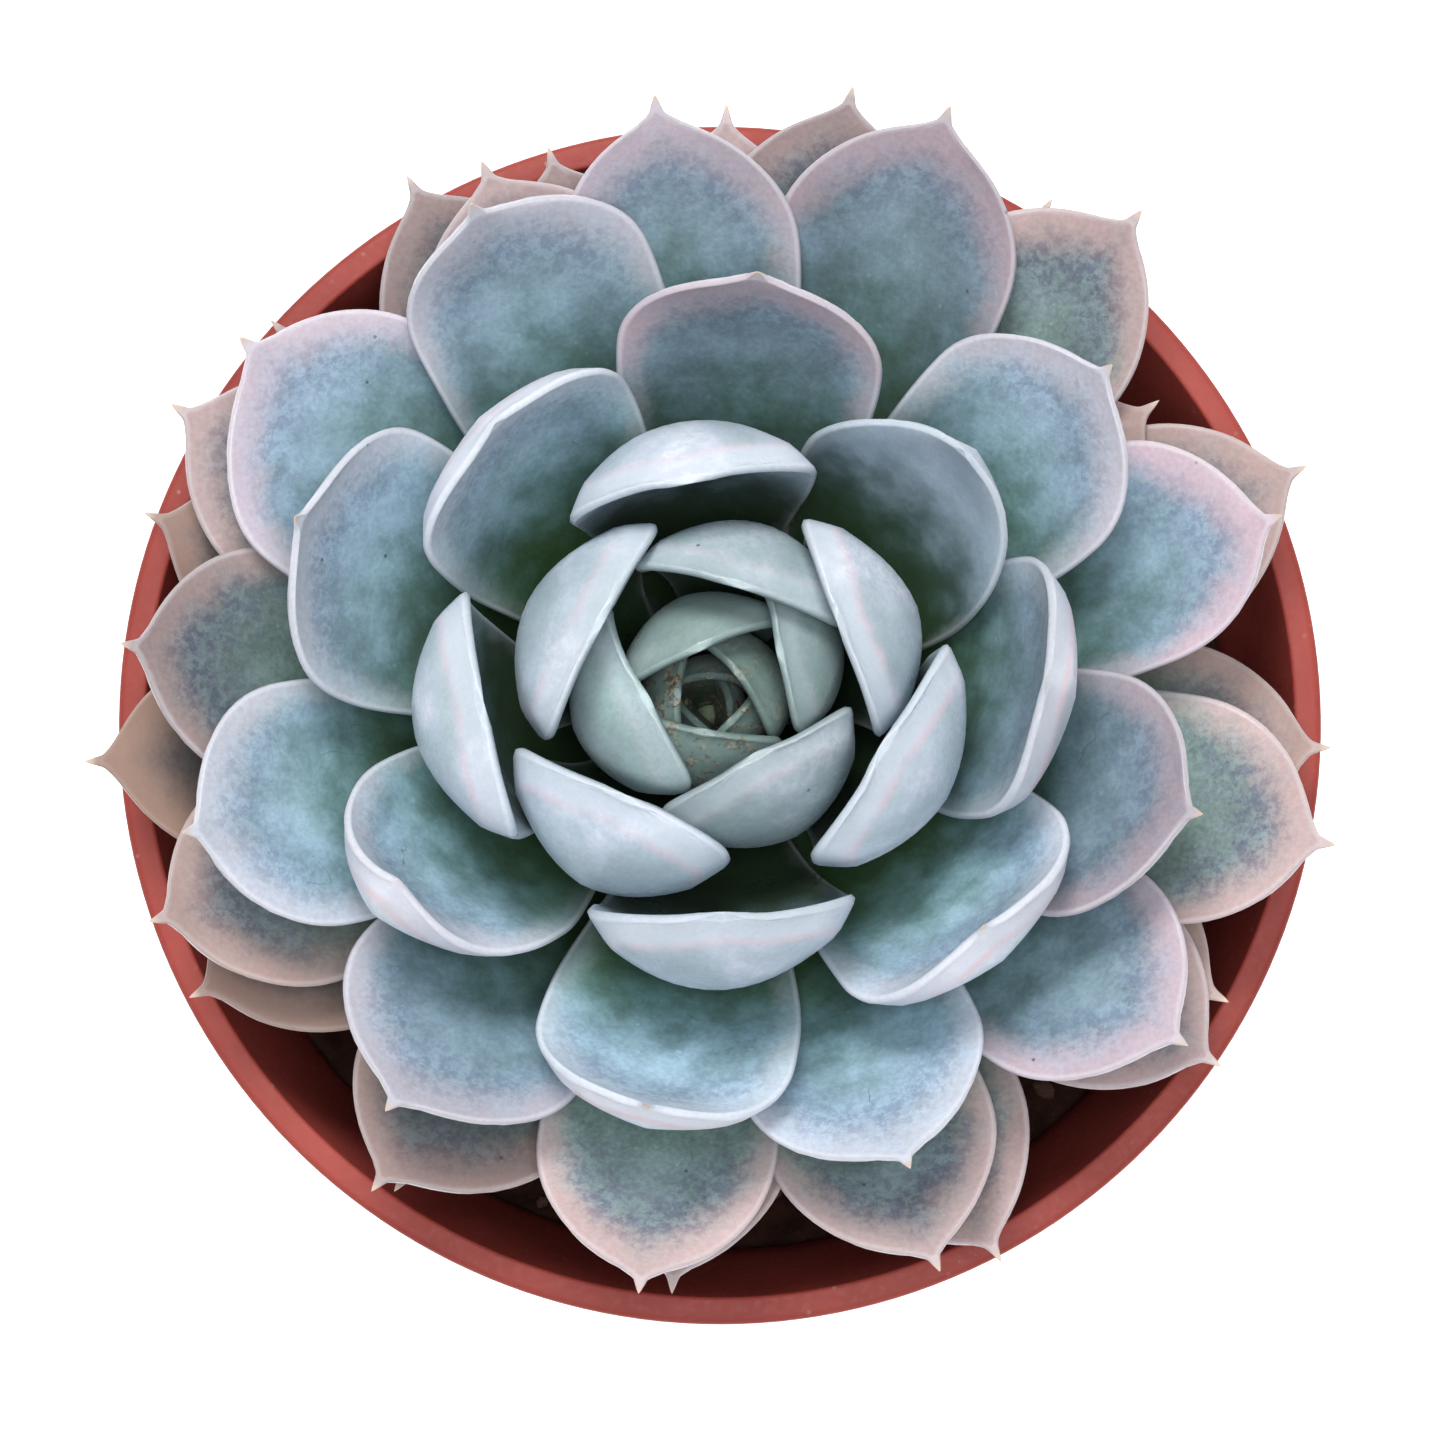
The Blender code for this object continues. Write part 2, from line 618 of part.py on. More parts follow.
def build_soil(material):
    """Potting mix that fills the pot, with a plain hole where the stem stands."""
    bottom = FLOOR + PIECE_GAP
    foot = inner_pot_radius(bottom) - SOIL_FOOT_INSET
    top = inner_pot_radius(POT_HEIGHT - SOIL_DROP) - 2 * PIECE_GAP
    rings = [soil_ring(foot, bottom), soil_ring(foot + SOIL_FOOT_CHAMFER, bottom + SOIL_FOOT_INSET)]
    rings.append(soil_ring(top, drop=SOIL_EDGE_DROP))
    rings += [soil_ring(top * (1 - ring / SOIL_RINGS)) for ring in range(1, SOIL_RINGS)]
    verts = [point for ring in rings for point in ring]
    low_centre, high_centre = len(verts), len(verts) + 1
    verts += [(0, 0, bottom), (0, 0, soil_height(0, 0))]
    faces = []
    last = (len(rings) - 1) * SOIL_SIDES
    for i in range(SOIL_SIDES):
        j = (i + 1) % SOIL_SIDES
        for start in range(0, last, SOIL_SIDES):
            above = start + SOIL_SIDES
            faces.append((start + i, start + j, above + j, above + i))
        faces.append((low_centre, j, i))
        faces.append((high_centre, last + i, last + j))
    soil = add_object("soil", verts, faces, material)
    boolean(soil, "DIFFERENCE", new_group("socket", [stem_socket(material)]))


def stem_socket(material):
    """A plain upright-walled hole that follows the stem's lean with a small gap all round."""
    radius = ROOT_RADIUS + PIECE_GAP
    deep = ROOT_DEPTH + PIECE_GAP
    profile = [(0, -deep), (radius, -deep), (radius, ROOT_TOP), (0, ROOT_TOP)]
    socket = turned("socket", profile, SOCKET_SIDES, material)
    lean = Matrix.Rotation(-math.radians(grown(LEAN, OLDEST_LEAF)), 4, "X")
    socket.data.transform(Matrix.Translation(CROWN) @ lean)
    return socket


def main():
    clear_scene()
    skins = {name: make_material(name, *look) for name, look in LOOKS.items()}
    build_pot(skins["pot"])
    build_soil(skins["soil"])
    build_stem(skins["stem"])
    build_leaves({kind: skins["leaf_" + kind] for kind in ("inner", "middle", "outer")})


main()
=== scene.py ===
import functools
import math
import random

import bmesh
import bpy
import numpy as np
from mathutils import Matrix, Vector, noise


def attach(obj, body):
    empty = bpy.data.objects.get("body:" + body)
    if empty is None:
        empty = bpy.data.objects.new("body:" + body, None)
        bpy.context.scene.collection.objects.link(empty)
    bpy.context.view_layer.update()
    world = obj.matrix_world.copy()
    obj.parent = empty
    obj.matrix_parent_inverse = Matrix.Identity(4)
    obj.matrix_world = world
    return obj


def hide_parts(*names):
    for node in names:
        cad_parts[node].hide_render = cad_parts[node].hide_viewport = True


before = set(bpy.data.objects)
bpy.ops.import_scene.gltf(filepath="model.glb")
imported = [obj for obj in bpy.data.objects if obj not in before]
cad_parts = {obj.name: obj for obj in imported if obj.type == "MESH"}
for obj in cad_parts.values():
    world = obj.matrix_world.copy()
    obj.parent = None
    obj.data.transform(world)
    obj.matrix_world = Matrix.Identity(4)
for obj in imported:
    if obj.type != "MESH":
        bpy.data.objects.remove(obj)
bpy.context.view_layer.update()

# Potted mexican snowball: a rosette of powdery blue-green leaves in a small terracotta-red pot.
# Everything is in metres around the pot's axis, with the pot standing on z = 0.

mm = 0.001


# Camera, set by the pot's rim in the picture

cameraSettings = {
    "tilt": 5.0,  # degrees off straight down, the viewer stands at the front
    "distance": 450 * mm,  # from the middle of the rim
    "pictureSide": 1445,  # pixels
    "rimMiddle": (720, 719),  # pixel where the middle of the rim shows
    "pixelsPerMm": 11.476,  # at the rim
    "filmWidth": 36.0,  # millimetres
    "nearClip": 10 * mm,
}
cameraTilt = math.radians(cameraSettings["tilt"])


def linked(name, data):
    made = bpy.data.objects.new(name, data)
    bpy.context.scene.collection.objects.link(made)
    return made


def eyePlace():
    away = Vector((0, -math.sin(cameraTilt), math.cos(cameraTilt))) * cameraSettings["distance"]
    return away + Vector((0, 0, potSize["height"]))


def addCamera():
    side = cameraSettings["pictureSide"]
    film = cameraSettings["filmWidth"]
    middleX, middleY = cameraSettings["rimMiddle"]
    data = bpy.data.cameras.new("viewer")
    data.sensor_width = film
    data.lens = cameraSettings["pixelsPerMm"] * cameraSettings["distance"] / mm * film / side
    data.shift_x = (side / 2 - middleX) / side
    data.shift_y = (middleY - side / 2) / side
    data.clip_start = cameraSettings["nearClip"]
    camera = linked("viewer", data)
    camera.location = eyePlace()
    camera.rotation_euler = (cameraTilt, 0, 0)
    bpy.context.scene.camera = camera


# Light and floor

lightSettings = {
    "key": {"place": (-0.12, 0.50, 0.95), "size": 0.42, "power": 7.2, "colour": (1.0, 0.99, 0.97)},
    "top": {"place": (0.05, -0.10, 1.10), "size": 0.50, "power": 5.2, "colour": (0.98, 0.99, 1.0)},
    "front": {"place": (0.10, -0.75, 0.60), "size": 0.60, "power": 1.6, "colour": (1.0, 1.0, 1.0)},
    "surround": (0.88, 0.92, 1.0),
    "surroundStrength": 0.18,
    "floorReach": 1.6,            # metres to each side
}

floorLook = {
    "patterns": {"clouds": (0.02, 3, 0.5)},
    "base": (0.95, 0.95, 0.95),
    "layers": {"patch": ((0.97, 0.97, 0.965), "clouds")},
    "roughness": (0.8,),
    "bumps": (),
    "fixed": {"Emission Color": (1, 1, 1), "Emission Strength": 0.70},    # keeps it white in the pot's shade
}


def addLights():
    for name in ("key", "top", "front"):
        look = lightSettings[name]
        data = bpy.data.lights.new(name, "AREA")
        data.shape = "DISK"
        data.size = look["size"]
        data.energy = look["power"]
        data.color = look["colour"]
        lamp = linked(name, data)
        lamp.location = look["place"]
        aim = Vector((0, 0, potSize["height"])) - lamp.location
        lamp.rotation_euler = aim.to_track_quat("-Z", "Y").to_euler()
    world = bpy.data.worlds.new("paleRoom")
    world.use_nodes = True
    back = world.node_tree.nodes["Background"]
    back.inputs["Color"].default_value = (*lightSettings["surround"], 1)
    back.inputs["Strength"].default_value = lightSettings["surroundStrength"]
    bpy.context.scene.world = world
    bpy.context.scene.view_settings.view_transform = "Standard"
    bpy.context.scene.view_settings.look = "None"


def addFloor():
    reach = lightSettings["floorReach"]
    mesh = bpy.data.meshes.new("floor")
    corners = [(-reach, -reach, 0), (reach, -reach, 0), (reach, reach, 0), (-reach, reach, 0)]
    mesh.from_pydata(corners, [], [(0, 1, 2, 3)])
    mesh.materials.append(plainPaint("paleFloor", floorLook))
    linked("floor", mesh)
    print("stage: camera, lights and floor")


# Paints. A pattern is (bumps per mm, detail, roughness, stretch, warp), or (dots per mm,). A layer is a
# colour and the factors of its amount. A factor is a pattern or a point's reading, with the span it
# rises over and its values there, or bare, or it is a number. A name in a span is looked up in the look.

patternShift = (91.0, 57.0, 33.0)     # mm that a pattern moves for a draw of 1, so no two leaves match


class Paint:
    def __init__(self, name, look):
        self.look = look
        self.made = {}
        self.material = bpy.data.materials.new(name)
        self.material.use_nodes = True
        self.tree = self.material.node_tree
        self.shader = self.tree.nodes["Principled BSDF"]

    def plug(self, socket, source):
        if isinstance(source, bpy.types.NodeSocket):
            self.tree.links.new(source, socket)
        elif isinstance(source, (tuple, list)) and len(socket.default_value) == 4 and len(source) == 3:
            socket.default_value = (*source, 1)
        else:
            socket.default_value = source

    def node(self, kind, sources, output=0, **settings):
        made = self.tree.nodes.new(kind)
        for key, value in settings.items():
            setattr(made, key, value)
        for key, source in sources.items():
            self.plug(made.inputs[key], source)
        return made.outputs[output]

    def place(self):
        # object coordinates in millimetres, moved by each leaf's own draw
        if "place" not in self.made:
            spot = self.scaled(self.node("ShaderNodeTexCoord", {}, "Object"), 1 / mm)
            shift = self.scaled(patternShift, self.value("ownDraw"))
            self.made["place"] = self.node("ShaderNodeVectorMath", {0: spot, 1: shift}, operation="ADD")
        return self.made["place"]

    def value(self, name):
        if name not in self.made:
            pattern = self.look["patterns"].get(name)
            if pattern is None:
                self.made[name] = self.node("ShaderNodeAttribute", {}, "Fac", attribute_name=name)
            else:
                self.made[name] = self.dots(*pattern) if len(pattern) == 1 else self.grain(*pattern)
        return self.made[name]

    def maths(self, operation, a, b=0.0):
        return self.node("ShaderNodeMath", {0: a, 1: b}, operation=operation)

    def parts(self, factors):
        for factor in factors:
            if isinstance(factor, tuple):
                name, *span = factor
                yield self.rise(self.value(name), *map(self.pick, span))
            else:
                yield self.value(factor) if isinstance(factor, str) else factor

    def pick(self, value):
        return self.look[value] if isinstance(value, str) else value

    def times(self, *factors):
        return functools.reduce(functools.partial(self.maths, "MULTIPLY"), self.parts(factors))

    def plus(self, *factors):
        return functools.reduce(functools.partial(self.maths, "ADD"), self.parts(factors))

    def layered(self, colour, layers):
        colour = self.pick(colour)
        for tone, *factors in layers:
            colour = self.blend(self.times(*factors), colour, self.pick(tone))
        return colour

    def rise(self, source, start, end, low=0.0, high=1.0):
        # low before the start, high past the end, and a soft step between them
        sources = dict(enumerate((source, start, end, low, high)))
        return self.node("ShaderNodeMapRange", sources, interpolation_type="SMOOTHSTEP", clamp=True)

    def blend(self, amount, a, b):
        sources = {"Factor": amount, 6: a, 7: b}
        return self.node("ShaderNodeMix", sources, 2, data_type="RGBA", clamp_factor=True)

    def scaled(self, vector, factor):
        return self.node("ShaderNodeVectorMath", {0: vector, "Scale": factor}, operation="SCALE")

    def grain(self, perMm, detail, rough, stretch=None, warp=0.0):
        where = self.place()
        if stretch:
            where = self.node("ShaderNodeMapping", {"Vector": where, "Scale": stretch})
        sources = {"Vector": where, "Scale": perMm, "Detail": detail, "Roughness": rough, "Distortion": warp}
        return self.node("ShaderNodeTexNoise", sources, "Fac", noise_dimensions="3D")

    def dots(self, perMm):
        sources = {"Vector": self.place(), "Scale": perMm}
        return self.node("ShaderNodeTexVoronoi", sources, "Distance", feature="F1")

    def bump(self, height, strength, distance, before=None):
        sources = {"Height": height, "Strength": strength, "Distance": distance}
        if before is not None:
            sources["Normal"] = before
        return self.node("ShaderNodeBump", sources)

    def finish(self, colour, roughness, fixed, normal=None):
        fixed = {"Base Color": colour, "Roughness": roughness, **fixed}
        if normal is not None:
            fixed["Normal"] = normal
        for name, value in fixed.items():
            self.plug(self.shader.inputs[name], self.pick(value))
        return self.material


def plainPaint(name, look):
    paint = Paint(name, look)
    colour = paint.layered(look["base"], look["layers"].values())
    normal = None
    for pattern, strength, distance in look["bumps"]:
        normal = paint.bump(paint.value(pattern), strength, distance, normal)
    return paint.finish(colour, paint.times(*look["roughness"]), look["fixed"], normal)


def addReading(mesh, name, values):
    layer = mesh.attributes.new(name, "FLOAT", "POINT")
    layer.data.foreach_set("value", np.asarray(values, np.float32).ravel())


def addPiece(name, points, faces, material, readings=None):
    mesh = bpy.data.meshes.new(name)
    mesh.from_pydata([tuple(p) for p in points], [], faces)
    mesh.materials.append(material)
    for key, values in (readings or {}).items():
        addReading(mesh, key, values)
    mesh.shade_smooth()
    return linked(name, mesh)


def wallFaces(rowCount, sides, start=0, flip=False):
    # quads between neighbouring closed rows of points
    faces = []
    for row in range(rowCount - 1):
        low = start + row * sides
        high = low + sides
        for i in range(sides):
            j = (i + 1) % sides
            quad = (low + i, low + j, high + j, high + i)
            faces.append((quad[0], quad[3], quad[2], quad[1]) if flip else quad)
    return faces


# Pot

potSize = {
    "height": 90 * mm, "rimRadius": 52.5 * mm, "rimWidth": 2.4 * mm, "collarHeight": 13 * mm,
    "collarTaper": 0.9 * mm, "collarStep": 0.3 * mm, "footRadius": 38.0 * mm, "wall": 1.5 * mm,
    "floor": 4.2 * mm, "footRingWidth": 3.4 * mm, "footDiscRadius": 10.0 * mm,
    "footRecess": 2.0 * mm,
    "footSlopes": (0.8 * mm, 1.8 * mm, 1.0 * mm, 0.6 * mm),  # disc, recess, ring, outer edge
    "footRounding": (0.3 * mm, 0.8 * mm),  # inside and at the outer edge
    "collarRounding": (0.35 * mm, 0.45 * mm),  # under it and at its corner
    "rimRounding": (0.75 * mm, 0.35 * mm),  # outside and inside
    "floorRounding": 1.6 * mm, "roundingSteps": 5, "drainHoles": 6, "drainRadius": 3.0 * mm,
    "drainCircle": 22.0 * mm, "drainSides": 48, "sides": 192,
    "sharpAngle": 45,             # degrees, edges past it are shaded sharp
    "shadeDepth": 6 * mm,         # the inside is in full shade this far under the rim
}

potLook = {
    "patterns": {"clouds": (0.05, 5, 0.6), "speckle": (1.4, 5, 0.7), "dots": (0.55,),
                 "dustPatches": (0.18, 3, 0.6), "swell": (0.09, 2, 0.5)},
    "base": (0.38, 0.066, 0.052),
    "layers": {
        "deep": ((0.32, 0.050, 0.040), ("clouds", 0.35, 0.7)),
        "worn": ((0.46, 0.13, 0.11), ("speckle", 0.52, 0.78, 0.0, 0.35)),
        "dust": ((0.50, 0.32, 0.27), ("dots", 0.05, 0.16, 0.6, 0.0), ("dustPatches", 0.5, 0.68)),
        "innerShade": ((0.13, 0.018, 0.014), "inside", 0.85),
    },
    "roughness": (("speckle", 0.3, 0.7, 0.42, 0.62),),
    "bumps": (("speckle", 0.12, 0.2 * mm), ("swell", 0.10, 1.0 * mm)),
    "fixed": {"Specular IOR Level": 0.25},
}


def potInnerRadius(z):
    innerRim = potSize["rimRadius"] - potSize["rimWidth"]
    innerFoot = potSize["footRadius"] - potSize["wall"]
    share = (z - potSize["floor"]) / (potSize["height"] - potSize["floor"])
    return innerFoot + (innerRim - innerFoot) * share


def potCorners():
    # closed profile of (radius, height, rounding), from the middle of the foot up the outside
    # and back down inside
    size = potSize
    top, recess, floor = size["height"], size["footRecess"], size["floor"]
    collarZ = top - size["collarHeight"]
    disc, foot = size["footDiscRadius"], size["footRadius"]
    ring = foot - size["footRingWidth"]
    discSlope, recessSlope, ringSlope, edgeSlope = size["footSlopes"]
    inFoot, atEdge = size["footRounding"]
    underCollar, atCollar = size["collarRounding"]
    rimOutside, rimInside = size["rimRounding"]
    return [
        (0, 0, 0), (disc, 0, inFoot), (disc + discSlope, recess, inFoot),
        (ring - recessSlope, recess, inFoot), (ring - ringSlope, 0, inFoot), (foot - edgeSlope, 0, atEdge),
        (potInnerRadius(collarZ) + size["wall"], collarZ - size["collarStep"], underCollar),
        (size["rimRadius"] - size["collarTaper"], collarZ, atCollar),
        (size["rimRadius"], top, rimOutside), (potInnerRadius(top), top, rimInside),
        (potInnerRadius(floor), floor, size["floorRounding"]), (0, floor, 0),
    ]


def rounded(corners):
    # each corner of a profile gets an arc whose legs are as long as its third number
    path = []
    steps = potSize["roundingSteps"]
    for i, (r, z, leg) in enumerate(corners):
        here = Vector((r, z))
        if leg == 0:
            path.append(here)
            continue
        before = (Vector(corners[i - 1][:2]) - here).normalized() * leg
        after = (Vector(corners[(i + 1) % len(corners)][:2]) - here).normalized() * leg
        for step in range(steps + 1):
            t = step / steps
            path.append(here + before * (1 - t) ** 2 + after * t ** 2)
    return path


def turnedPiece(name, path, sides, material):
    # a profile turned about the pot's axis; a point on the axis is one vertex for its whole row
    points = []
    rows = []
    for r, z in path:
        if r < 1e-9:
            rows.append([len(points)] * sides)
            points.append((0, 0, z))
            continue
        rows.append(list(range(len(points), len(points) + sides)))
        for i in range(sides):
            angle = math.tau * i / sides
            points.append((r * math.cos(angle), r * math.sin(angle), z))
    faces = []
    for low, high in zip(rows, rows[1:] + rows[:1]):
        for i in range(sides):
            j = (i + 1) % sides
            corners = list(dict.fromkeys((low[i], low[j], high[j], high[i])))
            if len(corners) > 2:
                faces.append(corners)
    return addPiece(name, points, faces, material)


def drillDrain(pot, middle):
    bm = bmesh.new()
    radius = potSize["drainRadius"]
    bmesh.ops.create_cone(bm, cap_ends=True, segments=potSize["drainSides"], radius1=radius, radius2=radius,
                          depth=4 * potSize["floor"], matrix=Matrix.Translation(middle))
    mesh = bpy.data.meshes.new("drill")
    bm.to_mesh(mesh)
    bm.free()
    drillBit = linked("drill", mesh)
    cut = pot.modifiers.new("drain", "BOOLEAN")
    cut.operation = "DIFFERENCE"
    cut.solver = "EXACT"
    cut.object = drillBit
    bpy.context.view_layer.objects.active = pot
    bpy.ops.object.modifier_apply(modifier=cut.name)
    bpy.data.objects.remove(drillBit)


def insideReading(mesh):
    # 0 on the outside and at the rim, 1 deep inside; the slack keeps the inner wall's own points in
    slackAtFloor, slackAtRim, leastHeight = 0.35 * mm, 0.55 * mm, 3.5 * mm
    top, floor = potSize["height"], potSize["floor"]
    values = []
    for vert in mesh.vertices:
        x, y, z = vert.co
        slack = slackAtFloor + (slackAtRim - slackAtFloor) * (z - floor) / (top - floor)
        within = z > leastHeight and math.hypot(x, y) < potInnerRadius(z) + slack
        values.append(min(max((top - z) / potSize["shadeDepth"], 0.0), 1.0) if within else 0.0)
    addReading(mesh, "inside", values)


def buildPot():
    pot = turnedPiece("pot_fine", [tuple(p) for p in rounded(potCorners())], potSize["sides"],
                      plainPaint("terracottaRedPlastic", potLook))
    for i in range(potSize["drainHoles"]):
        angle = math.tau * i / potSize["drainHoles"]
        drillDrain(pot, Vector((math.cos(angle), math.sin(angle), 0)) * potSize["drainCircle"])
    insideReading(pot.data)
    pot.data.set_sharp_from_angle(angle=math.radians(potSize["sharpAngle"]))
    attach(pot, "root")
    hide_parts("pot")
    print("pot: turned, drilled and painted")


# Potting mix

soilSettings = {
    "drop": 21 * mm,  # below the rim
    "wave": 0.9 * mm, "waveWidths": (7 * mm, 9 * mm), "waveShifts": (0.8, -0.4), "mound": 1.6 * mm,
    "moundReach": 20 * mm,
    "crumb": 0.9 * mm,  # how rough the surface is
    "crumbsPerMm": (0.35, 0.45),  # coarse ones and round lumps
    "edgeGap": 0.5 * mm,  # to the pot's wall
    "edgeDrop": 1.0 * mm,
    "footGap": 0.3 * mm,  # to the pot's floor
    "footInset": 2.5 * mm, "rings": 110, "ringCrowding": 0.8, "sides": 240, "barkBits": 620,
    "barkSizes": (0.8 * mm, 3.2 * mm), "barkFlatness": (0.35, 0.7), "paleGrains": 46,
    "paleSizes": (0.7 * mm, 1.7 * mm), "paleFlatness": (0.6, 0.9),
    "seenPaleSizes": (1.1, 1.8),  # mm
    "seed": 11,
}

soilLook = {
    "patterns": {"clouds": (0.35, 6, 0.7), "fine": (2.2, 6, 0.75), "dots": (0.7,)},
    "base": (0.020, 0.007, 0.004),
    "layers": {
        "light": ((0.050, 0.019, 0.012), ("clouds", 0.35, 0.7)),
        "fleck": ((0.085, 0.038, 0.024), ("fine", 0.55, 0.75, 0.0, 0.6)),
        "dust": ((0.12, 0.08, 0.055), ("dots", 0.02, 0.10, 0.5, 0.0)),
    },
    "roughness": (("fine", 0.3, 0.7, 0.82, 0.97),),
    "bumps": (("fine", 0.7, 0.4 * mm),),
    "fixed": {"Specular IOR Level": 0.2},
}

barkLook = {
    "patterns": {"fibres": (1.1, 6, 0.7, (1, 3, 1))},
    "base": (0.030, 0.015, 0.010),
    "layers": {
        "light": ((0.115, 0.055, 0.030), "ownDraw"),
        "fibre": ((0.17, 0.085, 0.045), ("fibres", 0.45, 0.75, 0.0, 0.8)),
    },
    "roughness": (("fibres", 0.3, 0.7, 0.7, 0.92),),
    "bumps": (("fibres", 0.6, 0.3 * mm),),
    "fixed": {},
}

paleLook = {
    "patterns": {"pits": (2.5, 5, 0.7)},
    "base": (0.46, 0.36, 0.31),
    "layers": {"light": ((0.80, 0.74, 0.68), ("pits", 0.35, 0.7))},
    "roughness": (0.85,),
    "bumps": (("pits", 0.8, 0.3 * mm),),
    "fixed": {},
}

chipShape = {
    "plainUnder": 1.2 * mm,  # smaller chips get fewer facets
    "mostTilt": 0.9, "lengths": (0.8, 1.5), "breadths": (0.6, 1.0), "roughness": 0.38,
    "dentsPerSize": 2.6, "patternReach": 9,
}

# pale grains that show between the leaves and the wall, as pixels of the picture
paleGrainPixels = [
    (692, 1262), (700, 1280), (752, 1283), (772, 1301), (1035, 1145), (1045, 1166), (805, 1245),
]


def soilHeight(x, y):
    (wideX, wideY), (shiftX, shiftY) = soilSettings["waveWidths"], soilSettings["waveShifts"]
    waves = math.sin(x / wideX + shiftX) * math.cos(y / wideY + shiftY)
    mound = soilSettings["mound"] * math.exp(-(x * x + y * y) / soilSettings["moundReach"] ** 2)
    return potSize["height"] - soilSettings["drop"] + soilSettings["wave"] * waves + mound


def crumblyHeight(x, y):
    spot = Vector((x, y, 0)) / mm
    coarsePerMm, lumpsPerMm = soilSettings["crumbsPerMm"]
    coarse = noise.fractal(spot * coarsePerMm, 1.0, 2.0, 5)
    lumps = noise.voronoi(spot * lumpsPerMm)[0][0]
    return soilHeight(x, y) + soilSettings["crumb"] * (0.75 * coarse + 0.9 * (0.45 - lumps))


def chips(draw, places, sizes, flatness):
    # rough little stones or flakes, all in one mesh
    shape = chipShape
    tilt, reach = shape["mostTilt"], shape["patternReach"]
    bm = bmesh.new()
    tag = bm.verts.layers.float.new("ownDraw")
    for place, size in zip(places, sizes):
        finer = 1 if size < shape["plainUnder"] else 2
        made = bmesh.ops.create_icosphere(bm, subdivisions=finer, radius=size / 2)["verts"]
        tone = draw.random()
        spin = Matrix.Rotation(draw.uniform(0, math.tau), 3, "Z")
        spin = spin @ Matrix.Rotation(draw.uniform(-tilt, tilt), 3, "X")
        stretch = [draw.uniform(*span) for span in (shape["lengths"], shape["breadths"], flatness)]
        shift = Vector([draw.uniform(-reach, reach) for _ in range(3)])
        for vert in made:
            rough = 1 + shape["roughness"] * noise.noise(vert.co / size * shape["dentsPerSize"] + shift)
            vert.co = spin @ (vert.co * Vector(stretch) * rough) + Vector(place)
            vert[tag] = tone
    return bm


def chipPiece(name, bm, material):
    mesh = bpy.data.meshes.new(name)
    bmesh.ops.recalc_face_normals(bm, faces=bm.faces)
    bm.to_mesh(mesh)
    bm.free()
    mesh.materials.append(material)
    piece = linked(name, mesh)
    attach(piece, "root")


def groundUnderPixel(pixel, z):
    # where the sight line through a pixel meets the height z
    distance = cameraSettings["distance"]
    scale = distance * cameraSettings["pixelsPerMm"] / mm
    middleX, middleY = cameraSettings["rimMiddle"]
    ray = Vector(((pixel[0] - middleX) / scale * distance, 0, 0))
    ray += Vector((0, math.cos(cameraTilt), math.sin(cameraTilt))) * (middleY - pixel[1]) / scale * distance
    eye = eyePlace()
    toward = ray + Vector((0, 0, potSize["height"])) - eye
    return eye + toward * ((z - eye.z) / toward.z)


def buildSoil():
    settings = soilSettings
    sides = settings["sides"]
    bottom = potSize["floor"] + settings["footGap"]
    edge = potInnerRadius(potSize["height"] - settings["drop"]) - settings["edgeGap"]
    foot = potInnerRadius(bottom) - settings["footInset"]
    points = [(0, 0, bottom)]
    for i in range(settings["rings"] + 1):
        for j in range(sides):
            angle = math.tau * j / sides
            radius = edge * (1 - (i - 1) / settings["rings"]) ** settings["ringCrowding"] if i else foot
            x, y = radius * math.cos(angle), radius * math.sin(angle)
            z = crumblyHeight(x, y) - (settings["edgeDrop"] if i == 1 else 0) if i else bottom
            points.append((x, y, z))
    points.append((0, 0, soilHeight(0, 0)))
    last = len(points) - 1
    faces = [(0, 1 + (j + 1) % sides, 1 + j) for j in range(sides)]
    faces += wallFaces(settings["rings"] + 1, sides, start=1)
    faces += [(last, last - sides + j, last - sides + (j + 1) % sides) for j in range(sides)]
    soil = addPiece("soil_fine", points, faces, plainPaint("pottingMix", soilLook))
    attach(soil, "root")
    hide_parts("soil")
    print("soil: surface")
    scatterChips(edge)


def scatterChips(edge):
    settings = soilSettings
    draw = random.Random(settings["seed"])

    def scatter(count, sizes):
        places, drawn = [], []
        for _ in range(count):
            size = draw.uniform(*sizes)
            radius = math.sqrt(draw.uniform(0.25, 1)) * (edge - size * 0.9)
            angle = draw.uniform(0, math.tau)
            x, y = radius * math.cos(angle), radius * math.sin(angle)
            places.append((x, y, crumblyHeight(x, y) + size * 0.15))
            drawn.append(size)
        return places, drawn

    places, sizes = scatter(settings["barkBits"], settings["barkSizes"])
    bark = chips(draw, places, sizes, settings["barkFlatness"])
    chipPiece("bark_crumbs", bark, plainPaint("barkCrumbs", barkLook))
    places, sizes = scatter(settings["paleGrains"], settings["paleSizes"])
    for pixel in paleGrainPixels:
        x, y, _ = groundUnderPixel(pixel, potSize["height"] - settings["drop"])
        if math.hypot(x, y) < edge - 0.8 * mm:
            places.append((x, y, crumblyHeight(x, y) + 0.5 * mm))
            sizes.append(draw.uniform(*settings["seenPaleSizes"]) * mm)
    pale = chips(draw, places, sizes, settings["paleFlatness"])
    chipPiece("pale_grains", pale, plainPaint("paleMineralGrains", paleLook))
    print("soil: bark crumbs and pale grains")


# Rosette: how the leaves grow, each turned by the golden angle from the one before

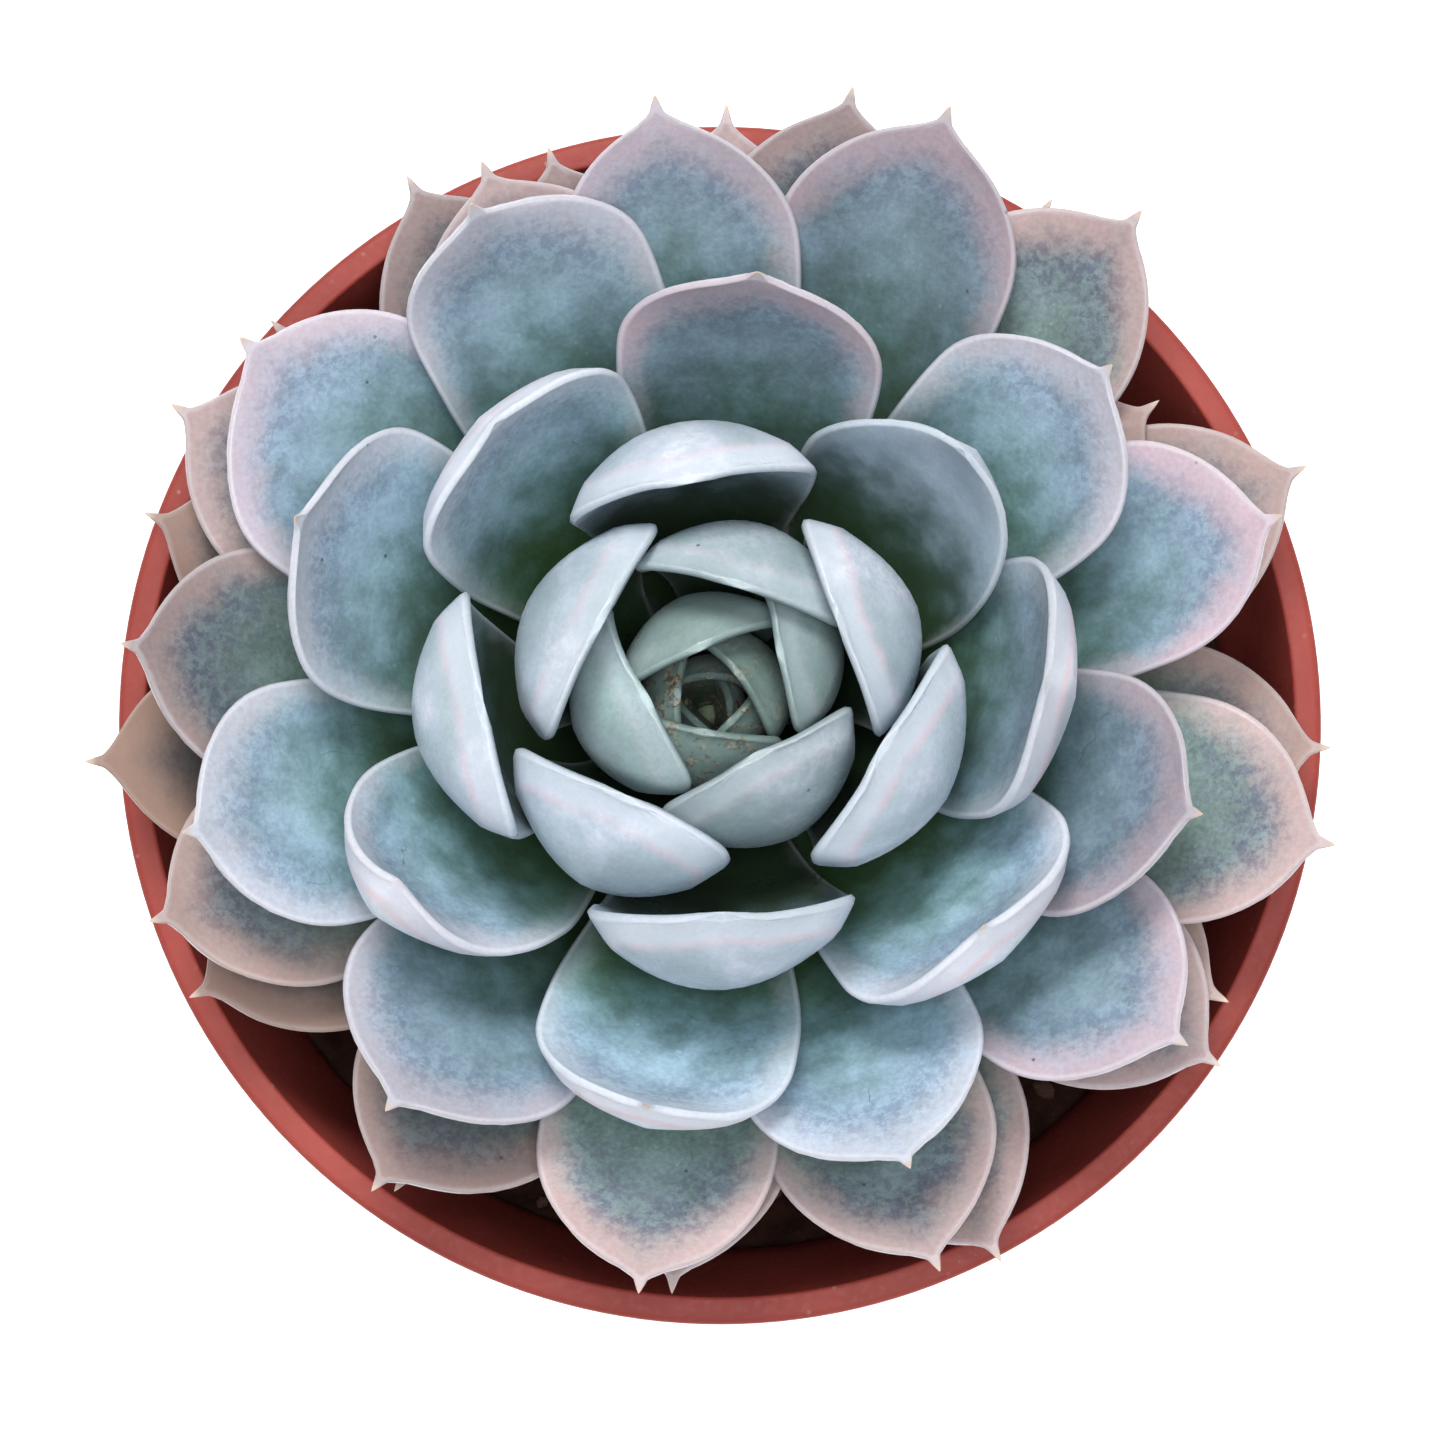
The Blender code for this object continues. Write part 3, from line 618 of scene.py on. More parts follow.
rosette = {
    "goldenAngle": 137.5, "firstTurn": 136.0, "crown": Vector((-0.8 * mm, -0.5 * mm, 81.5 * mm)),
    "heartOrders": list(range(-20, -12)), "leafOrders": list(range(-12, 42)) + [43, 47],
    "budAttachShare": 0.4, "mostSweep": 22.0, "midlineSteps": 60, "curlPower": 1.3,
    "hookFrom": 0.72, "edge": 0.6 * mm, "baseWidth": 0.34, "wideningPower": 1.6, "neckReach": 0.15,
    "leastHalfWidth": 0.45 * mm, "lopsidedFullAt": 0.4, "baseThickness": 0.42, "thickestAt": 0.62,
    "keelPower": 2.2, "leastDepth": 0.75 * mm, "hollowAtBase": 0.35, "hollowFullAt": 0.5,
    "flattenedFrom": 0.6, "flattenedOver": 0.35, "lastRingAt": 0.985,
    "upperSteps": (-1.0, -0.42, 0.42, 1.0), "lowerSteps": (0.95, 0.42, -0.42, -0.95),
    "spineLift": 0.2 * mm,
    "stretchLength": 0.5,  # how a leaf's length, base slope and tip slope follow its stretch
    "stretchBase": 45, "stretchTip": 12, "fitRounds": 40, "turnCorrection": 0.7,
    "stretchCorrection": 0.6,
}

# growth curves over a leaf's order, youngest to oldest: (order, value) pairs
growth = {
    "length": ((-20, 8), (-15, 17), (-10, 25.5), (-5, 32), (0, 37), (4, 40), (8, 44), (12, 46.5),
               (16, 48), (20, 48), (30, 47), (47, 45)),
    "baseSlope": ((-20, 70), (-12, 50), (-9, 44), (-7, 40), (-5, 36), (0, 30), (4, 26), (8, 21),
                  (20, 18), (30, 15), (47, 12)),
    "tipSlope": ((-20, 100), (-12, 130), (-9, 130), (-7, 128), (-5, 124), (-3, 118), (-1, 108), (0, 86),
                 (3, 68), (6, 56), (10, 47), (14, 42), (20, 36), (30, 28), (47, 21)),
    "heightOnStem": ((-20, 19), (-10, 16.5), (10, 9.5), (30, 3.0), (47, 0)),
    "stemRadius": ((-20, 0.8), (-12, 3.2), (0, 5.0), (20, 7.5), (47, 8.5)),
    "width": ((-20, 5), (-15, 12), (-12, 15.5), (-10, 18.2), (-8, 20), (-5, 21.5), (0, 22.2), (4, 22.2),
              (8, 21.5), (14, 20.5), (20, 20), (30, 18.5), (47, 17)),
    "thickness": ((-20, 1.6), (-12, 3.4), (-5, 4.8), (5, 5.2), (20, 4.4), (47, 3.4)),
    "cup": ((-20, 45), (-12, 36), (-5, 32), (0, 28), (10, 20), (20, 14), (47, 10)),
    "widestAt": ((-20, 0.7), (-12, 0.8), (-1, 0.79), (0, 0.74), (12, 0.72), (20, 0.71), (47, 0.68)),
    "bluntness": ((-12, 3.2), (-1, 3.0), (0, 2.4), (12, 2.3), (20, 2.3), (47, 2.0)),
    "neck": ((-3, 0.1), (6, 0.6)),
    "spine": ((-20, 0.3), (-3, 0.4), (2, 1.0), (8, 1.8)),
    "tipFlattening": ((-12, 0.2), (-2, 0.3), (8, 0.65)),
    "lean": ((-20, 0.0), (-12, 0.5), (-8, 1.5), (-4, 3.5), (0, 4.5), (47, 4.0)),
}

# where each tip shows from above, in millimetres from the pot's axis at the rim's scale
tipSeen = {
    -13: (-1.7, 7.8), -12: (4.9, 5.8), -11: (-6.1, 1.9),
    -10: (1.6, 11.4), -9: (3.0, -2.9), -8: (-10.2, 8.2), -7: (10.2, 8.4), -6: (-8.2, -6.6),
    -5: (-2.7, 20.5), -4: (14.0, -2.2), -3: (-20.6, 1.5), -2: (21.2, 23.5), -1: (0.2, -16.8),
    0: (-19.6, 25.8), 1: (28.2, 3.4), 2: (-27.9, -14.0), 3: (3.3, 39.0), 4: (22.9, -18.0),
    5: (-37.1, 17.6), 6: (34.2, 30.9), 7: (-6.5, -33.8), 8: (-21.7, 45.0), 9: (42.1, -8.3),
    10: (-46.9, -9.9), 11: (20.1, 53.5), 12: (16.6, -39.2), 13: (-41.9, 33.3), 14: (49.1, 17.8),
    15: (-29.2, -34.2), 16: (-5.7, 54.5), 17: (40.8, -28.5), 18: (-52.3, 6.6), 19: (36.8, 44.4),
    20: (-7.1, -50.1), 21: (-20.8, 48.7), 22: (53.7, -11.0), 23: (-49.8, -17.7), 24: (11.6, 55.2),
    25: (19.2, -48.2), 26: (-47.9, 27.5), 27: (51.2, 22.1), 28: (-30.4, -41.2), 29: (-15.0, 49.9),
    30: (43.7, -30.3), 31: (-55.4, -3.7), 33: (-4.2, -50.1), 34: (-27.3, 47.4), 35: (53.3, -2.5),
    36: (-46.3, -24.3), 38: (24.5, -47.3), 39: (-50.2, 18.0), 40: (38.3, 27.8), 41: (-28.4, -41.2),
    43: (44.4, -24.7), 47: (-39.2, 34.8),
}

# compass heading of the blades that turn sideways on their way to the tip
tipHeading = {
    -13: 138, -12: 7, -11: 208,
    -10: 75, -9: 298, -8: 153, -7: 19, -6: 246, -5: 102, -4: 327, -3: 192, -2: 48, -1: 272,
    0: 136, 1: 347, 2: 228, 4: 306, 7: 256,
}

# how single leaves differ: share of the usual width, how much broader the left side is than the
# right as seen from the stem, and degrees by which the whole blade and its last part curl in
usualLeaf = {"width": 1.0, "lopsided": 0.0, "curl": 0, "hook": 0, "blunt": 0.0, "widest": 0.0}
ownShape = {
    -12: {"width": 0.92},
    -9: {"width": 0.95},
    -7: {"width": 0.92},
    -6: {"width": 0.94},
    -5: {"width": 0.97},
    -4: {"width": 0.97},
    -3: {"width": 0.95},
    -2: {"width": 0.94, "curl": -28, "blunt": -1.1, "widest": -0.14, "lopsided": 0.14},
    0: {"hook": 8},
    1: {"hook": 22},
    2: {"width": 0.96, "hook": 30, "blunt": -0.5, "widest": -0.08, "lopsided": 0.12},
    3: {"hook": 10, "blunt": 0.15},
    4: {"hook": 36, "width": 1.04, "blunt": -0.3},
    5: {"hook": 12, "width": 1.05, "blunt": 0.1},
    6: {"width": 0.96, "blunt": -0.2},
    7: {"hook": 28},
    8: {"hook": 12, "blunt": 0.4, "widest": 0.03, "lopsided": -0.16},
    10: {"lopsided": -0.04},
    13: {"width": 1.16, "lopsided": 0.10},
    14: {"width": 0.94, "lopsided": 0.14},
    15: {"width": 1.08},
    16: {"lopsided": -0.10},
    19: {"lopsided": 0.14},
    22: {"lopsided": 0.08},
    28: {"width": 1.08, "lopsided": 0.15},
}


def grown(name, order):
    orders, values = zip(*growth[name])
    return float(np.interp(order, orders, values))


def smoothStep(x):
    x = np.clip(x, 0.0, 1.0)
    return x * x * (3 - 2 * x)


def seenFromAbove(point):
    # where a point shows, at the rim's scale, to a viewer tilted a little off the pot's axis
    up = point.z - potSize["height"]
    nearer = up * math.cos(cameraTilt) - point.y * math.sin(cameraTilt)
    scale = cameraSettings["distance"] / (cameraSettings["distance"] - nearer)
    return Vector((point.x, point.y * math.cos(cameraTilt) + up * math.sin(cameraTilt))) * scale


def leanOf(order):
    return Matrix.Rotation(-math.radians(grown("lean", order)), 3, "X")


class RosetteLeaf:
    def __init__(self, order):
        self.order = order
        self.turn = rosette["firstTurn"] - rosette["goldenAngle"] * order
        self.stretch = 0.0
        self.attachRadius = grown("stemRadius", order) * mm
        self.attachHeight = grown("heightOnStem", order) * mm
        self.own = {**usualLeaf, **ownShape.get(order, {})}
        self.width = grown("width", order) * self.own["width"] * mm
        self.thickness = grown("thickness", order) * mm
        self.cup = math.radians(grown("cup", order))
        self.widestAt = grown("widestAt", order) + self.own["widest"]
        self.bluntness = grown("bluntness", order) + self.own["blunt"]
        if order in tipSeen:
            self.reachForSeenTip()
        if order in rosette["heartOrders"]:
            self.attachRadius *= rosette["budAttachShare"]

    def length(self):
        return grown("length", self.order) * mm * (1 + rosette["stretchLength"] * self.stretch)

    def slopes(self, along):
        base = grown("baseSlope", self.order) - rosette["stretchBase"] * self.stretch
        tip = grown("tipSlope", self.order) + self.own["curl"] - rosette["stretchTip"] * self.stretch
        hookFrom = rosette["hookFrom"]
        hook = self.own["hook"] * smoothStep((along - hookFrom) / (1 - hookFrom))
        return np.radians(base + (tip - base) * along ** rosette["curlPower"] + hook)

    def sweep(self):
        if self.order not in tipHeading:
            return 0.0
        most = rosette["mostSweep"]
        off = (tipHeading[self.order] - self.turn + 180) % 360 - 180
        return math.radians(min(max(off, -most), most))

    def frames(self, along):
        # points on the midrib with the blade's normal, side and forward directions there
        shares = np.linspace(0, 1, rosette["midlineSteps"] + 1)
        slopes = self.slopes(shares)
        step = self.length() / rosette["midlineSteps"]
        out, up = np.cos(slopes) * step, np.sin(slopes) * step
        out = self.attachRadius + np.concatenate([[0], np.cumsum((out[1:] + out[:-1]) / 2)])
        up = self.attachHeight + np.concatenate([[0], np.cumsum((up[1:] + up[:-1]) / 2)])
        x = np.interp(along, shares, out)
        z = np.interp(along, shares, up)
        slope = self.slopes(along)
        heading = self.sweep() * along
        cosH, sinH = np.cos(heading), np.sin(heading)
        cosS, sinS = np.cos(slope), np.sin(slope)
        middle = np.stack([x, (x - self.attachRadius) * heading / 2, z], -1)
        normal = np.stack([-sinS * cosH, -sinS * sinH, cosS], -1)
        side = np.stack([-sinH, cosH, np.zeros_like(cosH)], -1)
        forward = np.stack([cosS * cosH, cosS * sinH, sinS], -1)
        return middle, normal, side, forward

    def halfWidths(self, along):
        most, atBase = self.width / 2, rosette["baseWidth"]
        rise = np.sin(np.clip(along / self.widestAt, 0, 1) * math.pi / 2) ** rosette["wideningPower"]
        left = np.clip((1 - along) / (1 - self.widestAt), 0, 1)
        neck = 1 - grown("neck", self.order) * np.exp(-((left / rosette["neckReach"]) ** 2))
        low = most * (atBase + (1 - atBase) * rise)
        high = most * (1 - (1 - left) ** self.bluntness) * neck
        return np.where(along < self.widestAt, low, np.maximum(high, rosette["leastHalfWidth"]))

    def broadening(self, step, along=1.0):
        return 1 + self.own["lopsided"] * np.sign(step) * smoothStep(along / rosette["lopsidedFullAt"])

    def depths(self, along):
        thickest, atBase = rosette["thickestAt"], rosette["baseThickness"]
        past = np.clip((along - thickest) / (1 - thickest), 0, 1)
        low = atBase + (1 - atBase) * smoothStep(along / thickest)
        high = np.sqrt(np.clip(1 - past ** rosette["keelPower"], 0, 1))
        return np.maximum(self.thickness * np.where(along < thickest, low, high), rosette["leastDepth"])

    def bends(self, along):
        least = rosette["hollowAtBase"]
        hollow = least + (1 - least) * smoothStep(along / rosette["hollowFullAt"])
        flattened = smoothStep((along - rosette["flattenedFrom"]) / rosette["flattenedOver"])
        return self.cup * hollow * (1 - grown("tipFlattening", self.order) * flattened)

    def place(self, points):
        turn = leanOf(self.order) @ Matrix.Rotation(math.radians(self.turn), 3, "Z")
        return np.asarray(points) @ np.array(turn).T + np.array(rosette["crown"])

    def spineTip(self):
        # the tip carries on from the middle of the last section's corners
        along = np.array([rosette["lastRingAt"]])
        middle, normal, side, _ = (part[0] for part in self.frames(along))
        half, depth = self.halfWidths(along)[0], self.depths(along)[0]
        radius = self.width / 2 / self.bends(along)[0]
        thin, upper, lower = rosette["edge"], rosette["upperSteps"], rosette["lowerSteps"]
        total = np.zeros(3)
        for i, step in enumerate(upper + lower):
            angle = step * half * self.broadening(step) / radius
            total += middle + side * radius * math.sin(angle) + normal * radius * (1 - math.cos(angle))
            if i >= len(upper):
                inward = normal * math.cos(angle) - side * math.sin(angle)
                bulge = 1 - (abs(step) / lower[0]) ** rosette["keelPower"]
                total -= inward * (thin + (depth - thin) * bulge)
        _, normal, _, forward = (part[0] for part in self.frames(np.array([1.0])))
        spine = grown("spine", self.order) * mm
        return total / len(upper + lower) + forward * spine + normal * rosette["spineLift"]

    def reachForSeenTip(self):
        # turn and stretch the leaf until its tip shows where it was read
        axis = seenFromAbove(Vector(self.place([0, 0, self.spineTip()[2]])))
        target = Vector(tipSeen[self.order]) * mm - axis
        for _ in range(rosette["fitRounds"]):
            shown = seenFromAbove(Vector(self.place(self.spineTip()))) - axis
            off = math.degrees(math.atan2(target.y, target.x) - math.atan2(shown.y, shown.x))
            self.turn += rosette["turnCorrection"] * ((off + 180) % 360 - 180)
            self.stretch += rosette["stretchCorrection"] * (target.length - shown.length) / self.length()


# Leaf blades in full detail

bladeDetail = {
    "rings": 46, "heartRingShare": 0.7, "ringCrowding": 1.5, "upperSteps": 25, "stepCrowding": 1.35,
    "backWidth": 0.985, "outlineSteps": 160, "spineRings": 6,
    "spineNarrowing": (0.92, 0.85),  # share of the last ring it starts at, and how it slims
    "bevel": ((-20, 0.7), (-12, 1.7), (-6, 2.3), (2, 2.3), (10, 1.7), (47, 1.0)),  # mm, under the margin
    "bevelShare": 0.46,  # how much of the depth the bevel takes up
    "bevelFrom": 0.30,  # the bevel starts here along the blade
    "bevelOver": 0.35, "marginBulge": 0.16 * mm,
    "swell": 0.16 * mm,  # soft unevenness of the faces
    "ripple": 0.22 * mm,  # and of the margins
    "evenUnder": 4 * mm,  # narrower parts of a blade get less of both
    "seed": 5,
}


def bladeRing():
    # steps across one ring, over the upper face, round the margin and back underneath, and which of
    # them are above (0), on the margin (0.5) or underneath (1)
    t = np.linspace(-1, 1, bladeDetail["upperSteps"])
    over = np.sign(t) * (1 - (1 - np.abs(t)) ** bladeDetail["stepCrowding"])
    across = np.concatenate([over, [1.0], over[::-1] * bladeDetail["backWidth"], [-1.0]])
    under = np.concatenate([np.zeros(len(over)), [0.5], np.ones(len(over)), [0.5]])
    return across, under


def marginGaps(leaf, flat, w):
    # distance from the margin, measured on the flattened blade
    shares = np.linspace(0.02, 1, bladeDetail["outlineSteps"])
    half = leaf.halfWidths(shares)
    outline = np.concatenate([np.stack([shares * leaf.length(), half * hand], -1) for hand in (1, -1)])
    gap = np.linalg.norm(flat[:, :, None, :] - outline[None, None], axis=-1).min(-1)
    return np.where(np.abs(w) > 0.999, 0.0, gap)


def bodyDepths(leaf, shares, w, gap, bevel):
    # how deep the back lies under the upper face: a bevel under the margin, then a keel
    half, depth = leaf.halfWidths(shares)[:, None], leaf.depths(shares)[:, None]
    bevelShare = bladeDetail["bevelShare"]
    nearTip = smoothStep((shares - bladeDetail["bevelFrom"]) / bladeDetail["bevelOver"])[:, None]
    plain = 1 - np.clip(np.abs(w) / bladeDetail["backWidth"], 0, 1) ** rosette["keelPower"]
    bulge = 1 - np.clip(1 - (gap - bevel) / (half * 0.9 + 1e-9), 0, 1) ** 2.0
    keel = (1 - bevelShare) * np.maximum(bulge, 0) * plain ** 0.35
    shaped = bevelShare * np.clip(gap / bevel, 0, 1) + keel
    profile = plain + (np.minimum(shaped, 1.0) - plain) * nearTip
    return rosette["edge"] + (depth - rosette["edge"]) * profile


def unevenness(leaf, flat, w, half):
    # soft swells over the faces and ripples along the margins, no two leaves alike
    draw = random.Random(bladeDetail["seed"] * 1000 + leaf.order)
    a, b = flat[..., 0] / mm, flat[..., 1] / mm
    phase = [draw.uniform(0, math.tau) for _ in range(6)]
    swell = np.sin(a / 4.3 + phase[0]) * np.cos(b / 3.6 + phase[1])
    swell = swell + 0.6 * np.sin(a / 7.1 - b / 5.2 + phase[2])
    ripple = np.sin(a / 3.4 + phase[3]) + 0.7 * np.sin(a / 1.9 + phase[4] + np.sign(b) * 1.7)
    shift = bladeDetail["swell"] * swell + bladeDetail["ripple"] * ripple * np.abs(w) ** 3
    return shift * smoothStep(half / bladeDetail["evenUnder"])[:, None]


def bladeMesh(leaf, detail):
    ringCount = int(bladeDetail["rings"] * detail)
    shares = 1 - (1 - np.arange(ringCount) / ringCount) ** bladeDetail["ringCrowding"]
    shares = shares / shares[-1] * rosette["lastRingAt"]
    half = leaf.halfWidths(shares)
    radius = leaf.width / 2 / leaf.bends(shares)
    middle, normal, side, _ = (part[:, None] for part in leaf.frames(shares))
    across, under = bladeRing()
    count = len(across)
    w = np.broadcast_to(across, (ringCount, count))
    flat = np.stack([np.broadcast_to((shares * leaf.length())[:, None], w.shape), w * half[:, None]], -1)
    gap = marginGaps(leaf, flat, w)

    # each ring lies on an arc, and its back hangs under it by the body's depth
    bevel = float(np.interp(leaf.order, *zip(*bladeDetail["bevel"]))) * mm
    angle = (w * leaf.broadening(w, shares[:, None]) * (half / radius)[:, None])[..., None]
    bendRadius = radius[:, None, None]
    surface = middle + side * bendRadius * np.sin(angle) + normal * bendRadius * (1 - np.cos(angle))
    inward = normal * np.cos(angle) - side * np.sin(angle)
    body = np.where(under == 0.5, rosette["edge"] * 0.5, bodyDepths(leaf, shares, w, gap, bevel))
    body = np.where(under == 0.0, 0.0, body)
    outward = np.where(under == 0.5, across, 0.0)[None, :, None] * bladeDetail["marginBulge"]
    points = surface + inward * (unevenness(leaf, flat, w, half) - body)[..., None] + side * outward

    tip = leaf.spineTip()
    hub = points[-1].mean(0)
    rows = list(points)
    start, slimming = bladeDetail["spineNarrowing"]
    steps = [j / (bladeDetail["spineRings"] + 1) for j in range(1, bladeDetail["spineRings"] + 1)]
    for t in steps:
        rows.append(hub + (points[-1] - hub) * (1 - t) ** slimming * start + (tip - hub) * t)
    verts = np.concatenate(rows + [points[0].mean(0)[None], tip[None]])
    faces = wallFaces(len(rows), count, flip=True)
    base, end, last = len(rows) * count, len(rows) * count + 1, (len(rows) - 1) * count
    for j in range(count):
        k = (j + 1) % count
        faces += [(base, j, k), (end, last + k, last + j)]

    def full(values, spineValues, baseValue, endValue):
        tail = np.concatenate([np.full(count, value) for value in spineValues])
        return np.concatenate([np.ravel(np.ones_like(w) * values), tail, [baseValue, endValue]])

    none = [0.0 for _ in steps]
    inSpine = smoothStep((shares[:, None] - 0.955) / 0.03) * 0.25
    spineShare = float(np.interp(leaf.order, (-3, 5), (0.2, 1.0)))
    readings = {
        "along": full(shares[:, None], [1.0 for _ in steps], 0.0, 1.0),
        "under": full(under, [0.5 for _ in steps], 1.0, 0.5),
        "marginGap": full(gap / mm, none, 5.0, 0.0),
        "spine": full(inSpine, [t * spineShare for t in steps], 0.0, spineShare),
    }
    return leaf.place(verts), faces, readings, bevel / mm


# Leaf skin: pale powder over blue-green flesh, a see-through pink margin and a cream spine

leafKinds = ("inner", "middle", "outer")

# one look for each kind of leaf, in that order
leafLooks = {
    "face": ((0.28, 0.42, 0.53), (0.205, 0.365, 0.43), (0.165, 0.27, 0.235)),
    "shade": ((0.18, 0.32, 0.35), (0.14, 0.285, 0.285), (0.105, 0.18, 0.11)),
    # base: near-black green toward the stem, partly the leaf's own green and partly painted shade under the
    # covering leaves
    "base": ((0.02, 0.044, 0.018), (0.026, 0.06, 0.02), (0.06, 0.095, 0.024)),
    # pale: the paler tip of the face, partly the leaf's own colour and partly painted light where the tip
    # turns up to the light
    "pale": ((0.56, 0.66, 0.78), (0.44, 0.55, 0.68), (0.27, 0.34, 0.37)),
    "back": ((0.6, 0.68, 0.8), (0.62, 0.67, 0.81), (0.34, 0.38, 0.36)),
    "backPatch": ((0.46, 0.57, 0.63), (0.49, 0.58, 0.64), (0.3, 0.3, 0.23)),
    "band": ((0.3, 0.37, 0.52), (0.145, 0.18, 0.27), (0.105, 0.115, 0.165)),
    "margin": ((0.68, 0.58, 0.67), (0.7, 0.5, 0.56), (0.54, 0.375, 0.365)),
    "ridge": ((0.76, 0.58, 0.66), (0.76, 0.54, 0.6), (0.52, 0.35, 0.33)),
    # darkTo: the span along the blade over which the painted shade at the base fades out
    "darkTo": ((0.45, 1.0), (0.38, 0.9), (0.22, 0.78)),
    "marginMm": (0.9, 2.0, 2.0),
    "bandMm": (2.6, 4.4, 4.8),
    "bandAmount": (0.2, 0.6, 0.85),
    "edgeLine": (0.2, 0.3, 0.25),
    "marginAmount": (0.55, 0.85, 0.85),
    "ridgeAmount": (0.5, 0.65, 0.5),
    "ragged": (0.3, 0.7, 0.8),
    "grit": (0.04, 0.09, 0.14),
    "cloudiness": (0.06, 0.08, 0.14),
    "roughness": ((0.24, 0.44), (0.28, 0.5), (0.34, 0.56)),
    "sheen": (0.08, 0.08, 0.06),
}

skinPatterns = {
    "clouds": (0.11, 3, 0.55, None, 0.4), "blotches": (0.28, 3, 0.52), "dust": (2.2, 3, 0.62),
    "mottle": (1.0, 4, 0.74), "flakes": (0.75,), "specks": (0.33,), "speckPatches": (0.21, 2, 0.5),
    "scratches": (0.10, 2, 0.5, (1.0, 1.3, 0.7), 0.8), "scratchPatches": (0.16, 2, 0.5),
    "crust": (0.75, 3, 0.65, None, 0.6),
}

# what all three skins share; gaps and spans over a gap are in millimetres
skin = {
    "bandWidths": (0.5, 1.4),             # in margin widths: where the band starts and is full
    "bandFade": 2.4,                      # in band widths: where it is gone
    "marginWidths": (0.75, 1.5),          # of the margin itself, low on the blade and at its tip
    "scratchLevel": 0.52,
    # dark green at the stem, on the faces and the backs, partly the leaf's own colour and partly painted
    # shade where the leaves above hide the base; teal over the face; paler and bluer toward the tip, partly
    # painted light where the blade turns up to the light
    "reach": ("along", ("blotches", 0.2, 0.8, -0.06, 0.06)),
    "faceLayers": (("face", ("clouds", 0.28, 0.66)), ("base", ("reach", "darkFrom", "darkTo", 1.0, 0.0)),
                   ("pale", ("reach", 0.55, 0.95, 0.0, 0.65))),
    "backLayers": (("back", ("clouds", 0.40, 0.62)), ("base", ("reach", 0.10, 0.72, 1.0, 0.0))),
    # the heart's young leaves: dark olive green toward their base, partly their own colour and partly
    # painted shade deep inside the rosette
    "heartDark": (0.035, 0.075, 0.040),
    "heartLayers": (((0.18, 0.28, 0.24), ("reach", 0.30, 0.95)),),
    "heartAmount": ("youth", 0.85),
    # slate-blue mottled band inside the margin, strongest toward the tip
    "ragged": ("marginGap", ("mottle", 0.30, 0.70, "lessRagged", "ragged")),
    "bandLayer": ("band", ("ragged", "bandStart", "bandFull"), ("ragged", "bandMm", "bandEnd", 1.0, 0.0),
                  ("along", 0.50, 0.88, 0.0, "bandAmount"), ("mottle", 0.44, 0.58, 0.35, 1.0), "above"),
    # powder: soft patches, fine grain and small pale flakes
    "patches": (("blotches", 0.3, 0.7, "lessCloudy", "cloudiness"),),
    "powder": (("dust", 0.34, 0.66, -1.0, 1.0), ("below", 0.0, 1.0, "grit", 0.05)),
    "paleFlakes": (("flakes", 0.10, 0.20, "flakeAmount", 0.0), "above", ("mottle", 0.50, 0.60)),
    # pink see-through margin, with a fine bright outer line, browner where it is weathered
    "wavy": ("marginGap", ("blotches", 0.2, 0.8, -0.7, 0.7), ("mottle", 0.3, 0.7, "lessWavy", "wavy")),
    "marginWidth": (("along", 0.6, 0.97, "marginNear", "marginAtTip"),),
    "plainMargin": (0.50, 0.60, 0.66),
    "rosyLayers": (("margin", "rosiness", ("along", 0.45, 0.80)),),
    # the margin follows the leaf's brightness, which is partly painted light and shade
    "marginTone": (("dust", 0.3, 0.7, 0.94, 1.06), ("lightness", 0.3, 1.5, 0.45, 1.25)),
    "heartMargin": (((0.17, 0.25, 0.20), "youth", 0.8),),
    "marginAmounts": (("marginShare", 0.0, 1.85, 1.0, 0.0), ("along", 0.25, 0.85, 0.1, "marginAmount"),
                      ("rosiness", 0.0, 1.0, 0.65, 1.0), ("youth", 0.0, 1.0, 1.0, 0.35)),
    "edgeLayer": ((0.78, 0.79, 0.84), ("marginGap", 0.05, 0.45, "edgeLine", 0.0), "grownUp"),
    "weatheredLayer": ((0.36, 0.23, 0.17), "blush", ("marginGap", 0.0, 6.5, 0.8, 0.15)),
    # a bevel under the margin lightened as painted light catching it, the ridge where it meets the back, and
    # white satin patches that are partly powder rubbed off and partly a painted highlight
    "onBack": (("under", 0.6, 0.9), ("along", 0.35, 0.75), "grownUp"),
    # painted light on the bevel between the margin and the ridge
    "bevelLightLayer": ((0.74, 0.79, 0.89), ("pastRidge", -0.5, 0.3, 0.45, 0.0), "onBack"),
    "ridgeLayer": ("ridge", ("fromRidge", 0.0, 0.75, 1.0, 0.0), "onBack",
                   ("blotches", 0.36, 0.60, "leastRidge", "ridgeAmount")),
    # painted highlight mixed with rubbed-off powder on the backs
    "satinAndHighlightLayer": ((0.84, 0.88, 0.93), ("clouds", 0.50, 0.66), ("mottle", 0.40, 0.64, 0.1, 0.6), "onBack"),
    # scratches are thin contour lines of a slow pattern, only here and there, and specks are rare
    "scratchLayer": ((0.06, 0.08, 0.08), ("fromScratch", 0.0006, 0.0032, 1.0, 0.0),
                     ("scratchPatches", 0.55, 0.62), ("ownDraw", 0.35, 0.55), ("marginGap", 1.5, 3.5),
                     "above", 0.6),
    "speckLayer": ((0.05, 0.06, 0.05), ("specks", 0.035, 0.075, 0.8, 0.0), ("speckPatches", 0.54, 0.62)),
    # dry brown and cream scabs on the young leaves of the heart, and the cream spine
    "dry": (("crust", 0.52, 0.58), "scab"),
    "scabDark": (0.10, 0.055, 0.030),
    "scabLayers": (((0.42, 0.36, 0.25), ("dust", 0.42, 0.6)),),
    "spineLayer": ((0.66, 0.52, 0.42), ("spine", 0.30, 0.8, 0.0, 0.85)),
    "roughness": (("blotches", 0.3, 0.7, "dull", "smooth"),),
    "scabRoughness": 0.85,
    "relief": {"dust": 0.35, "mottle": 0.35, "dry": 0.6},
    "bump": (0.22, 0.30 * mm),
    "fixed": {"Sheen Weight": "sheen", "Sheen Roughness": 0.45, "Sheen Tint": (0.86, 0.92, 1.0),
              "Specular IOR Level": 0.5},
}


